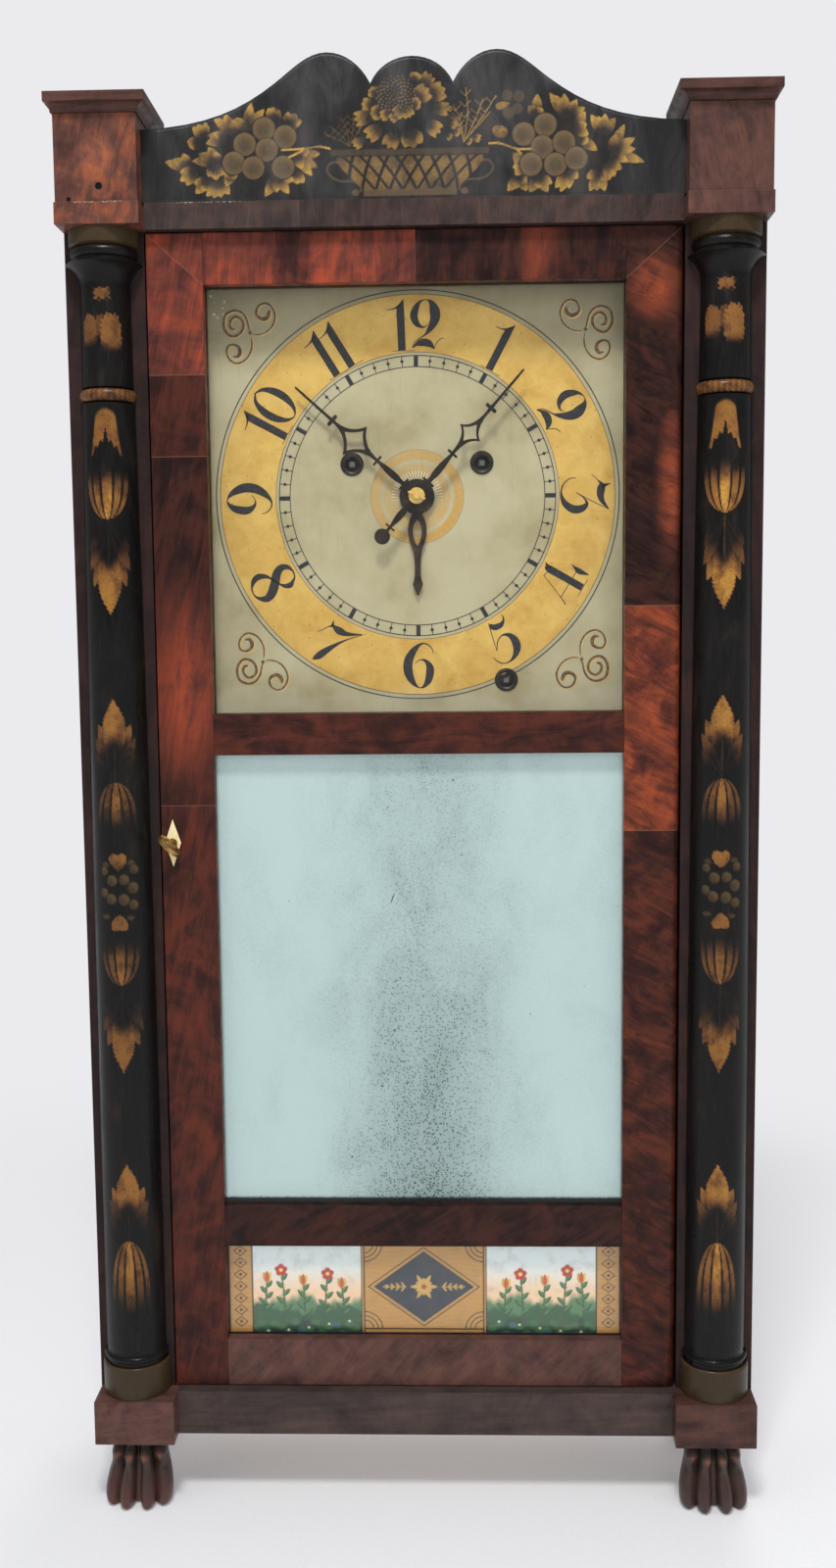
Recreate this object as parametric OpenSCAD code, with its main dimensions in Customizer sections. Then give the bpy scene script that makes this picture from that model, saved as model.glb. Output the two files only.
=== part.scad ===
// Half-column and splat shelf clock: weight-driven, with a mirror door and carved paw feet.
// Millimetres. +Z is up, the dial faces -Y, and the origin is under the middle of the clock.

/* [Case] */
// Width over the two case sides
case_w = 437; // [410:1:470]
// Depth from the front edge of the caps to the back of the backboard
depth = 134; // [128:1:160]
// Thickness of the case sides
side_t = 12; // [9:0.5:16]
// Thickness of the backboard
back_t = 8; // [6:0.5:10]
// Thickness of the front stiles and of the rails behind the door's plane
stile_t = 18; // [17:0.5:22]
// Thickness of the top board
top_board_t = 10; // [8:0.5:12]
// Thickness of the bottom board
floor_t = 12; // [8:0.5:16]
// Height of the feet
foot_h = 46; // [40:0.5:60]
// Height of the base blocks and the base rail
base_h = 29.7; // [25:0.1:40]
// Width of a front stile, which carries a column
stile_w = 50.2; // [49:0.1:54]

/* [Cornice] */
// Height of the step at the foot of a top block
abacus_h = 13.2; // [10:0.1:16]
// Height of a top block above its step
top_block_h = 52.5; // [45:0.5:70]
// Depth of a top block from front to back
top_block_d = 51; // [44:1:60]
// Height of a cap with its cove
cap_h = 11; // [9:0.5:15]
// Thickness of the square edge of a cap
cap_edge = 6; // [4:0.5:8]
// How far a cap stands out past its block at the inner side
cap_inner = 6.9; // [4:0.1:9]
// How far a cap stands out past its block at the outer side
cap_outer = 4.15; // [3:0.05:6]
// How far a cap stands out past its block at the front
cap_front = 6.8; // [4:0.1:8]
// Height of the splat at its peaks above the top rail
splat_h = 86.7; // [75:0.1:100]
// Thickness of the splat
splat_t = 8; // [6:0.5:10]
// Height of the top rail below the splat
top_rail_h = 16.2; // [14.2:0.1:19]

/* [Front projections] */
// How far the base blocks stand in front of the door
base_block_out = 23.6; // [22.8:0.1:26]
// How far the base rail stands in front of the door
base_rail_out = 8.4; // [4:0.1:12]
// How far the top rail and the splat stand in front of the door
top_rail_out = 6.8; // [4:0.1:10]
// How far the top blocks stand in front of the door
top_block_out = 21.2; // [19:0.1:21.8]
// How far the step of a top block stands out past the block
abacus_step = 2; // [0.5:0.1:2.4]

/* [Columns] */
// Radius of the turned base of a column
column_base_r = 22.4; // [20.5:0.1:23]
// Radius of the shaft just above the base
shaft_low_r = 19.7; // [18:0.1:20.2]
// Radius of the shaft just below the ring
shaft_high_r = 16.7; // [15.5:0.1:17.5]
// Radius of the ring round the shaft
ring_r = 18; // [17.8:0.1:19.5]
// Distance of the middle of the ring below the top of the column
ring_drop = 100.6; // [80:0.1:150]

/* [Door] */
// Thickness of the door
door_t = 20; // [19:0.5:22]
// Width of the door's two stiles
door_stile_w = 35.5; // [33:0.5:40]
// Height of the dial opening
dial_pane_h = 269; // [250:1:290]
// Height of the mirror opening
mirror_pane_h = 301.5; // [260:0.5:340]
// Height of the tablet opening
tablet_pane_h = 64.9; // [50:0.1:70]
// Height of the rail above the dial
upper_rail_h = 31.5; // [28:0.5:38]
// Height of the rail between the dial and the mirror
middle_rail_h = 26.5; // [24:0.1:30]
// Height of the rail between the mirror and the tablet
lower_rail_h = 27.6; // [25:0.1:32]
// Height of the rail under the tablet
bottom_rail_h = 32; // [28:0.5:40]
// Gap between the door and the case all round
door_gap = 0.8; // [0.6:0.1:1.5]
// Distance of the hinge pin from the door's edge and from its front
hinge_inset = 4.9; // [4:0.1:6]
// Radius of a hinge pin
hinge_pin_r = 1.1; // [0.9:0.1:1.5]
// Length of a hinge pin
hinge_pin_l = 24; // [18:1:30]
// Depth of the door's front edge in front of the glass
glass_set = 8; // [7:0.5:8.5]
// Width of the rebate that holds the glass
rebate = 6; // [4:0.5:7]
// Thickness of the glass
glass_t = 2; // [1.5:0.1:2.5]
// Thickness of the glazing beads
bead_t = 5; // [3:0.5:5.5]

/* [Lock] */
// Distance of the key from the door's edge
key_inset = 7.5; // [6.5:0.5:9.5]
// Height of the key above the foot of the column
key_z = 370; // [350:1:385]
// Radius of the key's shank
key_r = 2; // [1.6:0.1:2.3]
// Travel of the lock bolt
bolt_travel = 5; // [3:0.5:5.5]
// Thickness of the lock bolt
bolt_t = 4.4; // [3:0.1:4.8]
// Height of the lock bolt
bolt_h = 7; // [5:0.5:8]
// Length of the bone escutcheon
escutcheon_h = 31; // [24:0.5:36]
// Width of the bone escutcheon
escutcheon_w = 10.5; // [8:0.5:13]

/* [Dial and hands] */
// How far the dial board reaches behind the door's stiles
dial_lap_x = 18; // [12:1:22]
// How far the dial board reaches behind the door's rails
dial_lap_z = 14; // [10:1:16]
// Thickness of the dial board
dial_t = 5; // [4:0.5:6]
// Distance of the dial's face behind the door's front
dial_set = 30; // [29:0.5:32]
// Height of the hands' arbor above the middle of the dial opening
hand_rise = 4.5; // [0:0.1:8]
// Distance of each winding arbor from the middle
wind_x = 42.2; // [40:0.1:46]
// Height of the winding arbors above the hands' arbor
wind_z = 21.4; // [15:0.1:26]
// Distance of the alarm's winding arbor from the middle
alarm_x = 57.6; // [52:0.1:62]
// Distance of the alarm's winding arbor below the hands' arbor
alarm_drop = 119.3; // [116:0.1:123]
// Radius of the winding holes in the dial
wind_hole_r = 6.8; // [5:0.1:8]
// Length of the hour and minute hands from the arbor to the tip
hand_l = 105; // [96:1:112]
// Thickness of the hands
hand_t = 1.3; // [0.8:0.1:1.5]
// Radius of the disc of the alarm hand
alarm_disc_r = 11.4; // [9:0.1:14]
// Length of the alarm hand from the arbor to the tip
alarm_l = 64; // [56:1:72]

/* [Movement] */
// Width of the wooden plates
plate_w = 124; // [120:1:136]
// Height of the wooden plates
plate_h = 148; // [144:1:156]
// Thickness of the wooden plates
plate_t = 6; // [5:0.5:7]
// Distance of the front plate behind the door's front
plate_set = 50; // [49.5:0.5:51]
// Gap between the back plate and the backboard
plate_gap = 4; // [3:0.1:5]
// Radius of the winding drums
drum_r = 10.9; // [9:0.1:12]
// Room between a winding drum and the plates, for its flanges and its wheel
drum_room = 10; // [9:0.5:12]
// Number of teeth on each great wheel
great_teeth = 60; // [48:1:72]
// Outer radius of each great wheel
great_r = 33; // [28:0.5:34]
// Number of teeth on the escape wheel
escape_teeth = 42; // [30:1:48]
// Outer radius of the escape wheel
escape_r = 17; // [14:0.5:18]
// Distance of the pendulum to the left of the hands' arbor
pendulum_x = 14; // [13:0.5:16]
// Length from the pendulum's bend to the middle of the bob
pendulum_l = 308; // [260:1:330]
// Radius of the pendulum bob
bob_r = 28; // [20:0.5:32]
// Length of the crutch below the verge
crutch_l = 48; // [42:1:56]
// Radius of the bell
bell_r = 30; // [24:0.5:32]
// Distance of the bell below the hands' arbor
bell_drop = 132; // [128:1:140]
// Distance of the bell to the left of the hands' arbor
bell_left = 30; // [24:1:36]

/* [Weights] */
// Gap between a weight and the case side
weight_gap = 5.5; // [4:0.5:8]
// Radius of the weight cord
cord_r = 0.8; // [0.5:0.1:1.2]
// Radius of the groove of a pulley
pulley_groove_r = 12.1; // [10:0.1:12.5]
// Width of a weight
weight_w = 36; // [28:1:40]
// Gap between a weight and the backboard
weight_back_gap = 4; // [3:0.5:8]
// Height of a weight
weight_h = 170; // [120:5:200]
// Distance of the top of the weights below the pulleys
weight_drop = 215.7; // [190:0.1:260]

/* [Hidden] */

$fn = 64;
tiny = 0.01;
left = -1;
right = 1;

// Clearances
run = 0.08;
slip = 0.3;

// Heights of the door, the columns and the dial board
door_h = bottom_rail_h + tablet_pane_h + lower_rail_h + mirror_pane_h + middle_rail_h + dial_pane_h + upper_rail_h;
column_h = door_h + 2 * door_gap;
ring_z = column_h - ring_drop;
dial_h = dial_pane_h + 2 * dial_lap_z;

// Levels of the case
base_z = foot_h;
open_z = foot_h + base_h;
rail_z = open_z + column_h;
case_top_z = rail_z + abacus_h;
splat_z = rail_z + top_rail_h;
cap_z = case_top_z + top_block_h;

// Planes from front to back
face_y = -depth / 2 + top_block_out + cap_front;
stile_back = face_y + stile_t;
back_y = depth / 2 - back_t;

// Widths of the case
half_w = case_w / 2;
inner_w = half_w - side_t;
stile_in = half_w - stile_w;
door_edge = stile_in - door_gap;
block_in = door_edge - 1;
column_x = (stile_in + half_w) / 2;

// Levels of the door
door_z = open_z + door_gap;
tablet_z = door_z + bottom_rail_h;
mirror_z = tablet_z + tablet_pane_h + lower_rail_h;
dial_pane_z = mirror_z + mirror_pane_h + middle_rail_h;
pane_edge = door_edge - door_stile_w;
dial_w = 2 * (pane_edge + dial_lap_x);
hinge_x = door_edge - hinge_inset;
hinge_y = face_y + hinge_inset;
glass_y = face_y + glass_set;

// Lock
key_x = door_edge - key_inset;
lock_z = open_z + key_z;
lock_in = door_edge - 21.5;
lock_h = 36;
lock_wall = 1.2;
lock_y = face_y + 9;
lock_d = door_t - 9;
bit_l = 5;
bit_t = 1.5;
bit_y = lock_y + 2.6;
bolt_y = bit_y;
bolt_top = lock_z - 3;
bolt_len = 17;

// Dial, movement and hands
hands_z = dial_pane_z + dial_pane_h / 2 + hand_rise;
winding_z = hands_z + wind_z;
alarm_z = hands_z - alarm_drop;
dial_y = face_y + dial_set;
dial_back = dial_y + dial_t;
dial_low = dial_pane_z - dial_lap_z;
plate_y = face_y + plate_set;
back_plate_y = back_y - plate_gap - plate_t;
plates_apart = back_plate_y - plate_y;
plate_z = hands_z - plate_h / 2 + 6;
minute_y = dial_y - 10;
hour_y = dial_y - 6.5;
alarm_hand_y = dial_y - 3.4;
arbor_r = 2.2;
pipe_r = 4;
wind_arbor_r = 2.5;
staff_r = 1.5;
pivot_z = hands_z + 70;
verge_drop = 26;
rod_y = plate_y - 3;
rod_r = 1;
drum_y = plate_y + plate_t + 4;
drum_l = plates_apart - plate_t - drum_room;
flange_r = drum_r + 3;
flange_t = 2;
great_t = 3;
mid_y = drum_y + drum_l / 2;

// Bell and hammer
bell_x = -bell_left;
bell_z = hands_z - bell_drop;
bell_rim_y = back_y - 10;
hammer_x = 10;
hammer_z = plate_z + 8;
hammer_head_r = 4.5;
hammer_to = [bell_x, bell_z + bell_r + hammer_head_r + 0.6];

// Weights and pulleys
pulley_rim_r = pulley_groove_r + 3.5;
cord_x = inner_w - weight_gap - weight_w / 2;
pulley_x = cord_x - pulley_groove_r - cord_r - 0.1;
pulley_z = case_top_z - top_board_t - pulley_rim_r - 2.5;
pulley_t = 6;
lug_t = 6;
lug_gap = 1;
weight_top = pulley_z - weight_drop;
weight_d = 2 * (back_y - weight_back_gap - mid_y);
eye_r = 5;
eye_wire = 1.4;

// Helper: box from its lowest to its highest corner
module box(lo, hi) {
    translate(lo) cube(hi - lo);
}

// Helper: a solid of revolution about Y through [x, z], from y onwards
module along_y(x, z, y) {
    translate([x, y, z]) rotate([-90, 0, 0]) children();
}

// Helper: a bar of radius r between two points
module bar(a, b, r) {
    d = b - a;
    len = norm(d);
    translate(a) rotate([0, acos(d[2] / len), atan2(d[1], d[0])]) cylinder(r = r, h = len);
}

// Helper: points of a cubic curve from p0 to p3
function cubic(p0, p1, p2, p3, steps = 8) =
    [for (i = [1:steps]) let (t = i / steps, s = 1 - t)
        s * s * s * p0 + 3 * s * s * t * p1 + 3 * s * t * t * p2 + t * t * t * p3];

// Helper: the other half of an outline, mirrored in x and run backwards
function mirrored(half) = [for (i = [len(half) - 1:-1:0]) [-half[i][0], half[i][1]]];

// Helper: points of an arc about c
function arc(c, r, a0, a1, steps = 6) =
    [for (i = [0:steps]) let (a = a0 + (a1 - a0) * i / steps) c + r * [cos(a), sin(a)]];

// Case carcass
module backboard() {
    batten_w = 12;
    batten_x = plate_w / 2 - 4;
    boss = 12;
    color("burlywood") difference() {
        union() {
            box([-half_w, back_y, base_z], [half_w, back_y + back_t, case_top_z]);
            for (s = [left, right])
                box([s * batten_x - batten_w / 2, back_plate_y + plate_t, plate_z - 8],
                    [s * batten_x + batten_w / 2, back_y, plate_z + plate_h + 8]);
            box([alarm_x - boss, mid_y + 12, alarm_z - boss], [alarm_x + boss, back_y, alarm_z + boss]);
        }
        along_y(alarm_x, alarm_z, mid_y + 11) cylinder(r = wind_arbor_r + run, h = 15);
    }
}

module case_side(s) {
    color("saddlebrown")
        box([s * half_w - (s > 0 ? side_t : 0), stile_back, base_z],
            [s * half_w + (s > 0 ? 0 : side_t), back_y, case_top_z]);
}

module case_top_board() {
    pin_r = staff_r + 0.5 + run;
    color("burlywood") difference() {
        union() {
            box([-inner_w, stile_back, case_top_z - top_board_t], [inner_w, back_y, case_top_z]);
            for (s = [left, right], side = [left, right])
                translate([s * pulley_x, mid_y + side * (pulley_t / 2 + lug_gap + lug_t / 2), 0])
                    box([-8, -lug_t / 2, pulley_z - 6], [8, lug_t / 2, case_top_z - top_board_t + tiny]);
        }
        for (s = [left, right])
            along_y(s * pulley_x, pulley_z, mid_y - 3 * lug_t) cylinder(r = pin_r, h = 6 * lug_t);
    }
}

module case_bottom_board() {
    color("burlywood") box([-inner_w, stile_back, base_z], [inner_w, back_y, base_z + floor_t]);
}

module front_stile(s) {
    color([0.30, 0.14, 0.12]) mirror([s > 0 ? 0 : 1, 0, 0]) difference() {
        box([stile_in, face_y, base_z], [half_w, stile_back, case_top_z]);
        if (s < 0)
            box([stile_in - 1, bolt_y - 0.5, bolt_top - bolt_h - 0.6],
                [stile_in + bolt_travel + 2, bolt_y + bolt_t + 0.5, bolt_top + 0.6]);
    }
}

// Half columns, turned whole and split
drum_base_h = 22;
neck_r = shaft_high_r - 0.8;
capital_r = column_base_r - 0.5;

function shaft_r(t) = shaft_low_r - (shaft_low_r - shaft_high_r) * pow(t, 2.2);

function column_profile() = let (
    low = drum_base_h + 11, high = ring_z - 5, top = column_h, c = top - 9.3)
    concat(
        [[0, 0], [column_base_r, 0], [column_base_r, drum_base_h - 2]],
        arc([column_base_r - 2, drum_base_h - 2], 2, 0, 90, 4),
        [[shaft_low_r + 0.2, drum_base_h]],
        arc([shaft_low_r - 0.4, drum_base_h + 4.5], 2.2, -80, 80, 6),
        [[shaft_low_r - 0.4, drum_base_h + 8]],
        [for (i = [0:12]) [shaft_r(i / 12), low + (high - low) * i / 12]],
        arc([ring_r - 4.4, ring_z], 4.4, -75, 75, 8),
        [[neck_r + 0.3, ring_z + 5], [neck_r - 0.3, top - 36]],
        arc([neck_r + 15.6, top - 35], 16, 180, 118, 6),
        [[neck_r + 5.2, c - 9]],
        arc([capital_r - 4.8, c - 5], 4.2, -50, 62, 6),
        [[capital_r - 1.4, c - 1], [capital_r, c], [capital_r, top], [0, top]]);

module column(s) {
    color([0.13, 0.11, 0.10])
        translate([s * column_x, face_y, open_z])
            rotate([0, 0, 180]) rotate_extrude(angle = 180) polygon(column_profile());
}

// Base
module base_block(s) {
    color([0.30, 0.14, 0.11]) mirror([s > 0 ? 0 : 1, 0, 0])
        box([block_in - 1.2, face_y - base_block_out, base_z], [half_w - 0.3, face_y, open_z]);
}

module base_rail() {
    color([0.24, 0.16, 0.14]) difference() {
        union() {
            box([-block_in + 1.2, face_y - base_rail_out, base_z], [block_in - 1.2, face_y, open_z]);
            box([-stile_in, face_y, base_z], [stile_in, stile_back, open_z]);
        }
        translate([hinge_x, hinge_y, open_z - hinge_pin_l / 2 - 1])
            cylinder(r = hinge_pin_r + run, h = hinge_pin_l);
    }
}

// Carved paw: four toes that swell at the knuckle and again at the pad
paw_top_w = 34;
paw_w = 45;
paw_front = base_block_out + 3.4;
pad_r = paw_w / 8;

module toe(t) {
    root = paw_top_w / 2 - 4;
    back = 4.5 * t * t;
    places = [[root, 10, foot_h - 1.5, 4.4], [root + 0.8, 6.6, foot_h * 0.66, 4.8],
        [root + 1.9, 7.4, foot_h * 0.37, 4.1], [paw_w / 2 - pad_r, pad_r, pad_r - 0.8, pad_r]];
    for (i = [0:2]) hull() for (p = [places[i], places[i + 1]])
        translate([t * p[0], p[1] + back - paw_front, p[2]]) sphere(r = p[3], $fn = 14);
}

module paw_foot(s) {
    color([0.16, 0.09, 0.07]) translate([s * (column_x - 1.5), face_y, 0]) intersection() {
        union() {
            for (t = [-1, -0.34, 0.34, 1]) toe(t);
            hull() {
                translate([0, -5, foot_h - 3]) cylinder(r = paw_top_w / 2 - 1.5, h = 3, $fn = 32);
                translate([0, -3, 3]) cylinder(r = paw_w / 2 - 5, h = 6, $fn = 32);
            }
        }
        translate([-paw_w, -paw_front - 0.2, 0]) cube([2 * paw_w, 2 * paw_front, foot_h]);
    }
}

rear_foot_x = half_w - 27;
rear_foot_y = depth / 2 - 24;

module rear_feet() {
    r = 15;
    profile = concat([[0, 0], [r - 4, 0]], arc([r - 6, foot_h * 0.36], r * 0.45, -60, 60, 8),
        [[r - 5, foot_h * 0.62], [r - 5, foot_h * 0.7], [r, foot_h * 0.78], [r, foot_h], [0, foot_h]]);
    color([0.16, 0.09, 0.07]) for (s = [left, right])
        translate([s * rear_foot_x, rear_foot_y, 0]) rotate_extrude() polygon(profile);
}

// Cornice
top_block_in = door_edge - 0.1;
abacus_in = block_in;
top_block_edge = half_w - 0.4;
top_block_y = face_y - top_block_out;

module top_block(s) {
    color([0.42, 0.20, 0.11]) mirror([s > 0 ? 0 : 1, 0, 0]) union() {
        box([abacus_in, top_block_y - abacus_step, rail_z], [half_w + 0.2, face_y, case_top_z]);
        box([top_block_in, top_block_y, case_top_z], [top_block_edge, top_block_y + top_block_d, cap_z]);
    }
}

// Outline of a cap's moulding: a cove that opens from the block's width a..b under a square edge
function cap_outline(a, b, out_a, out_b) = let (cove = cap_h - cap_edge, lip = 1.2)
    concat([[a - lip, 0]],
        [for (i = [1:6]) let (u = 90 * i / 6) [a - lip - (out_a - lip - 1) * (1 - cos(u)), cove * sin(u)]],
        [[a - out_a, cove], [a - out_a, cap_h], [b + out_b, cap_h], [b + out_b, cove]],
        [for (i = [6:-1:1]) let (u = 90 * i / 6) [b + lip + (out_b - lip - 1) * (1 - cos(u)), cove * sin(u)]],
        [[b + lip, 0]]);

module cap(s) {
    color([0.26, 0.13, 0.12]) mirror([s > 0 ? 0 : 1, 0, 0]) translate([0, 0, cap_z]) intersection() {
        translate([0, depth, 0]) rotate([90, 0, 0]) linear_extrude(2 * depth)
            polygon(cap_outline(top_block_in, top_block_edge, cap_inner, cap_outer));
        rotate([90, 0, 90]) linear_extrude(case_w)
            polygon(cap_outline(top_block_y, top_block_y + top_block_d, cap_front, cap_front));
    }
}

// Right half of the splat's top edge, from its end to the middle
splat_end = top_block_in;
function splat_edge() = let (h = splat_h, e = splat_end) concat(
    [[e, h * 0.5]],
    cubic([e, h * 0.5], [e * 0.747, h * 0.513], [e * 0.621, h * 0.631], [e * 0.502, h * 0.797]),
    cubic([e * 0.502, h * 0.797], [e * 0.436, h * 0.89], [e * 0.382, h], [e * 0.311, h]),
    cubic([e * 0.311, h], [e * 0.245, h], [e * 0.185, h * 0.913], [e * 0.151, h * 0.785]),
    cubic([e * 0.151, h * 0.785], [e * 0.125, h * 0.896], [e * 0.066, h * 0.965], [0, h * 0.965]));

module crest_splat() {
    color([0.14, 0.12, 0.11])
        translate([0, face_y - top_rail_out + splat_t, splat_z]) rotate([90, 0, 0]) linear_extrude(splat_t)
            polygon(concat([[splat_end, 0]], splat_edge(), mirrored(splat_edge()), [[-splat_end, 0]]));
}

module top_rail() {
    color([0.30, 0.14, 0.11]) difference() {
        union() {
            box([-abacus_in, face_y - top_rail_out, rail_z], [abacus_in, stile_back, splat_z]);
            box([-stile_in, face_y, rail_z], [stile_in, stile_back, case_top_z]);
        }
        translate([hinge_x, hinge_y, rail_z - hinge_pin_l / 2 + 1])
            cylinder(r = hinge_pin_r + run, h = hinge_pin_l);
    }
}

// Door
module pane_rebates() {
    for (p = [[tablet_z, tablet_pane_h], [mirror_z, mirror_pane_h], [dial_pane_z, dial_pane_h]])
        box([-pane_edge - rebate, glass_y, p[0] - rebate],
            [pane_edge + rebate, face_y + door_t + 1, p[0] + p[1] + rebate]);
}

module door_stile_left() {
    color([0.45, 0.20, 0.13]) difference() {
        box([-door_edge, face_y, door_z], [-pane_edge, face_y + door_t, door_z + door_h]);
        pane_rebates();
        box([-door_edge - 1, lock_y - 0.1, lock_z - lock_h / 2 - 0.1],
            [-lock_in + 0.1, face_y + door_t + 1, lock_z + lock_h / 2 + 0.1]);
        along_y(-key_x, lock_z, face_y - 1) cylinder(r = key_r + slip, h = door_t);
    }
}

module door_stile_right() {
    color([0.45, 0.20, 0.13]) difference() {
        union() {
            box([pane_edge, face_y, door_z], [hinge_x, face_y + door_t, door_z + door_h]);
            box([hinge_x - tiny, hinge_y, door_z], [door_edge, face_y + door_t, door_z + door_h]);
            translate([hinge_x, hinge_y, door_z]) cylinder(r = hinge_inset, h = door_h);
        }
        pane_rebates();
        for (z = [door_z - 1, door_z + door_h - hinge_pin_l / 2])
            translate([hinge_x, hinge_y, z]) cylinder(r = hinge_pin_r + 0.02, h = hinge_pin_l / 2 + 1);
    }
}

module door_rail(z, h) {
    color([0.42, 0.19, 0.12]) difference() {
        box([-pane_edge, face_y, z], [pane_edge, face_y + door_t, z + h]);
        pane_rebates();
    }
}

module pane(z, h, t) {
    gap = 0.3;
    box([-pane_edge - rebate + gap, glass_y, z - rebate + gap],
        [pane_edge + rebate - gap, glass_y + t, z + h + rebate - gap]);
}

module dial_glass() {
    color([0.8, 0.9, 0.9, 0.3]) pane(dial_pane_z, dial_pane_h, glass_t);
}

module mirror_glass() {
    color([0.66, 0.78, 0.76]) pane(mirror_z, mirror_pane_h, glass_t);
}

module tablet_glass() {
    color([0.75, 0.62, 0.35]) pane(tablet_z, tablet_pane_h, glass_t);
}

module bead_frame(z, h) {
    w = rebate - 0.3;
    x = pane_edge + w;
    y0 = glass_y + glass_t;
    for (zz = [z - w, z + h])
        box([-x, y0, zz], [x, y0 + bead_t, zz + w]);
    for (xx = [-x, pane_edge])
        box([xx, y0, z], [xx + w, y0 + bead_t, z + h]);
}

module glazing_beads() {
    color([0.35, 0.20, 0.14]) {
        bead_frame(tablet_z, tablet_pane_h);
        bead_frame(mirror_z, mirror_pane_h);
        bead_frame(dial_pane_z, dial_pane_h);
    }
}

module hinge_pins() {
    color("goldenrod") for (z = [door_z - hinge_pin_l / 2 + 1, door_z + door_h - hinge_pin_l / 2 + 0.2])
        translate([hinge_x, hinge_y, z]) cylinder(r = hinge_pin_r, h = hinge_pin_l - 1.2);
}

// Lock, drawn for the door's left stile
module lock_case() {
    x0 = -door_edge;
    w = lock_wall;
    color("goldenrod") difference() {
        box([x0, lock_y, lock_z - lock_h / 2], [-lock_in, lock_y + lock_d, lock_z + lock_h / 2]);
        box([x0 + w, lock_y + w, lock_z - lock_h / 2 + w],
            [-lock_in - w, lock_y + lock_d - w, lock_z + lock_h / 2 - w]);
        box([x0 - 1, bolt_y - 0.2, bolt_top - bolt_h - slip],
            [x0 + w + 1, bolt_y + bolt_t + 0.2, bolt_top + slip]);
        along_y(-key_x, lock_z, lock_y - 1) cylinder(r = key_r + run, h = w + 2);
    }
}

module lock_bolt() {
    notch_w = 4.6;
    color("goldenrod") difference() {
        box([-door_edge + 0.2, bolt_y, bolt_top - bolt_h], [-door_edge + 0.2 + bolt_len, bolt_y + bolt_t, bolt_top]);
        box([-key_x - notch_w / 2, bolt_y - 1, bolt_top - 2.6],
            [-key_x + notch_w / 2, bolt_y + bolt_t + 1, bolt_top + 1]);
    }
}

module escutcheon() {
    color("ivory") difference() {
        along_y(-key_x, lock_z, face_y - 0.8) linear_extrude(0.8)
            polygon([[-escutcheon_w / 2, 0], [0, -escutcheon_h / 2], [escutcheon_w / 2, 0], [0, escutcheon_h / 2]]);
        along_y(-key_x, lock_z, face_y - 2) cylinder(r = key_r + slip, h = 4);
    }
}

module key() {
    bow_r = 8.5;
    bow_t = 3;
    bow_y = face_y - 14;
    color("gold") union() {
        along_y(-key_x, lock_z, bow_y + bow_r - 3) cylinder(r = key_r, h = face_y - bow_y - bow_r + 3 + 17);
        along_y(-key_x, lock_z, face_y - 4) cylinder(r = key_r + 1.2, h = 1.8);
        translate([-key_x, bow_y, lock_z]) rotate([0, 45, 0]) translate([0, 0, -bow_t / 2])
            difference() {
                union() {
                    cylinder(r = bow_r, h = bow_t);
                    translate([-2.6, 0, 0]) cube([5.2, bow_r + 1.2, bow_t]);
                }
                translate([0, -0.5, -1]) cylinder(r = bow_r - 3.4, h = bow_t + 2);
            }
        box([-key_x - bit_t / 2, bit_y + 0.2, lock_z - bit_l], [-key_x + bit_t / 2, bit_y + bolt_t - 0.2, lock_z]);
    }
}

// Dial
module dial_board() {
    color([0.80, 0.76, 0.62]) difference() {
        box([-dial_w / 2, dial_y, dial_low], [dial_w / 2, dial_back, dial_low + dial_h]);
        along_y(0, hands_z, dial_y - 1) cylinder(r = 6.5, h = dial_t + 2);
        for (s = [left, right])
            along_y(s * wind_x, winding_z, dial_y - 1) cylinder(r = wind_hole_r, h = dial_t + 2);
        along_y(alarm_x, alarm_z, dial_y - 1) cylinder(r = wind_hole_r, h = dial_t + 2);
    }
}

module dial_rails() {
    rail_d = 9;
    color("burlywood") for (z = [dial_low + 2, dial_low + dial_h - 14])
        box([-inner_w, dial_back, z], [inner_w, dial_back + rail_d, z + 12]);
}

// Movement plates of oak
module plate_bores(y) {
    along_y(0, hands_z, y - 1) cylinder(r = arbor_r + run, h = plate_t + 2);
    for (s = [left, right])
        along_y(s * wind_x, winding_z, y - 1) cylinder(r = wind_arbor_r + run, h = plate_t + 2);
    along_y(-pendulum_x, pivot_z, y - 1) cylinder(r = staff_r + run, h = plate_t + 2);
    along_y(-pendulum_x, pivot_z - verge_drop, y - 1) cylinder(r = staff_r + run, h = plate_t + 2);
    along_y(hammer_x, hammer_z, y - 1) cylinder(r = staff_r + run, h = plate_t + 2);
}

module front_plate() {
    cock_w = 9;
    cock_z = pivot_z + 3;
    color("peru") difference() {
        union() {
            box([-plate_w / 2, plate_y, plate_z], [plate_w / 2, plate_y + plate_t, plate_z + plate_h]);
            box([-pendulum_x - cock_w / 2, rod_y - 3, cock_z], [-pendulum_x + cock_w / 2, plate_y + tiny, cock_z + 5]);
        }
        plate_bores(plate_y);
        box([-pendulum_x - 1, rod_y - 4, cock_z - 1], [-pendulum_x + 1, rod_y + 2, cock_z + 6]);
    }
}

module back_plate() {
    pillar_x = plate_w / 2 - 8;
    color("peru") difference() {
        union() {
            box([-plate_w / 2, back_plate_y, plate_z], [plate_w / 2, back_plate_y + plate_t, plate_z + plate_h]);
            for (s = [left, right], z = [plate_z + 8, plate_z + plate_h - 8])
                along_y(s * pillar_x, z, plate_y + plate_t) cylinder(r = 5, h = plates_apart - plate_t + tiny);
        }
        plate_bores(back_plate_y);
    }
}

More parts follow.
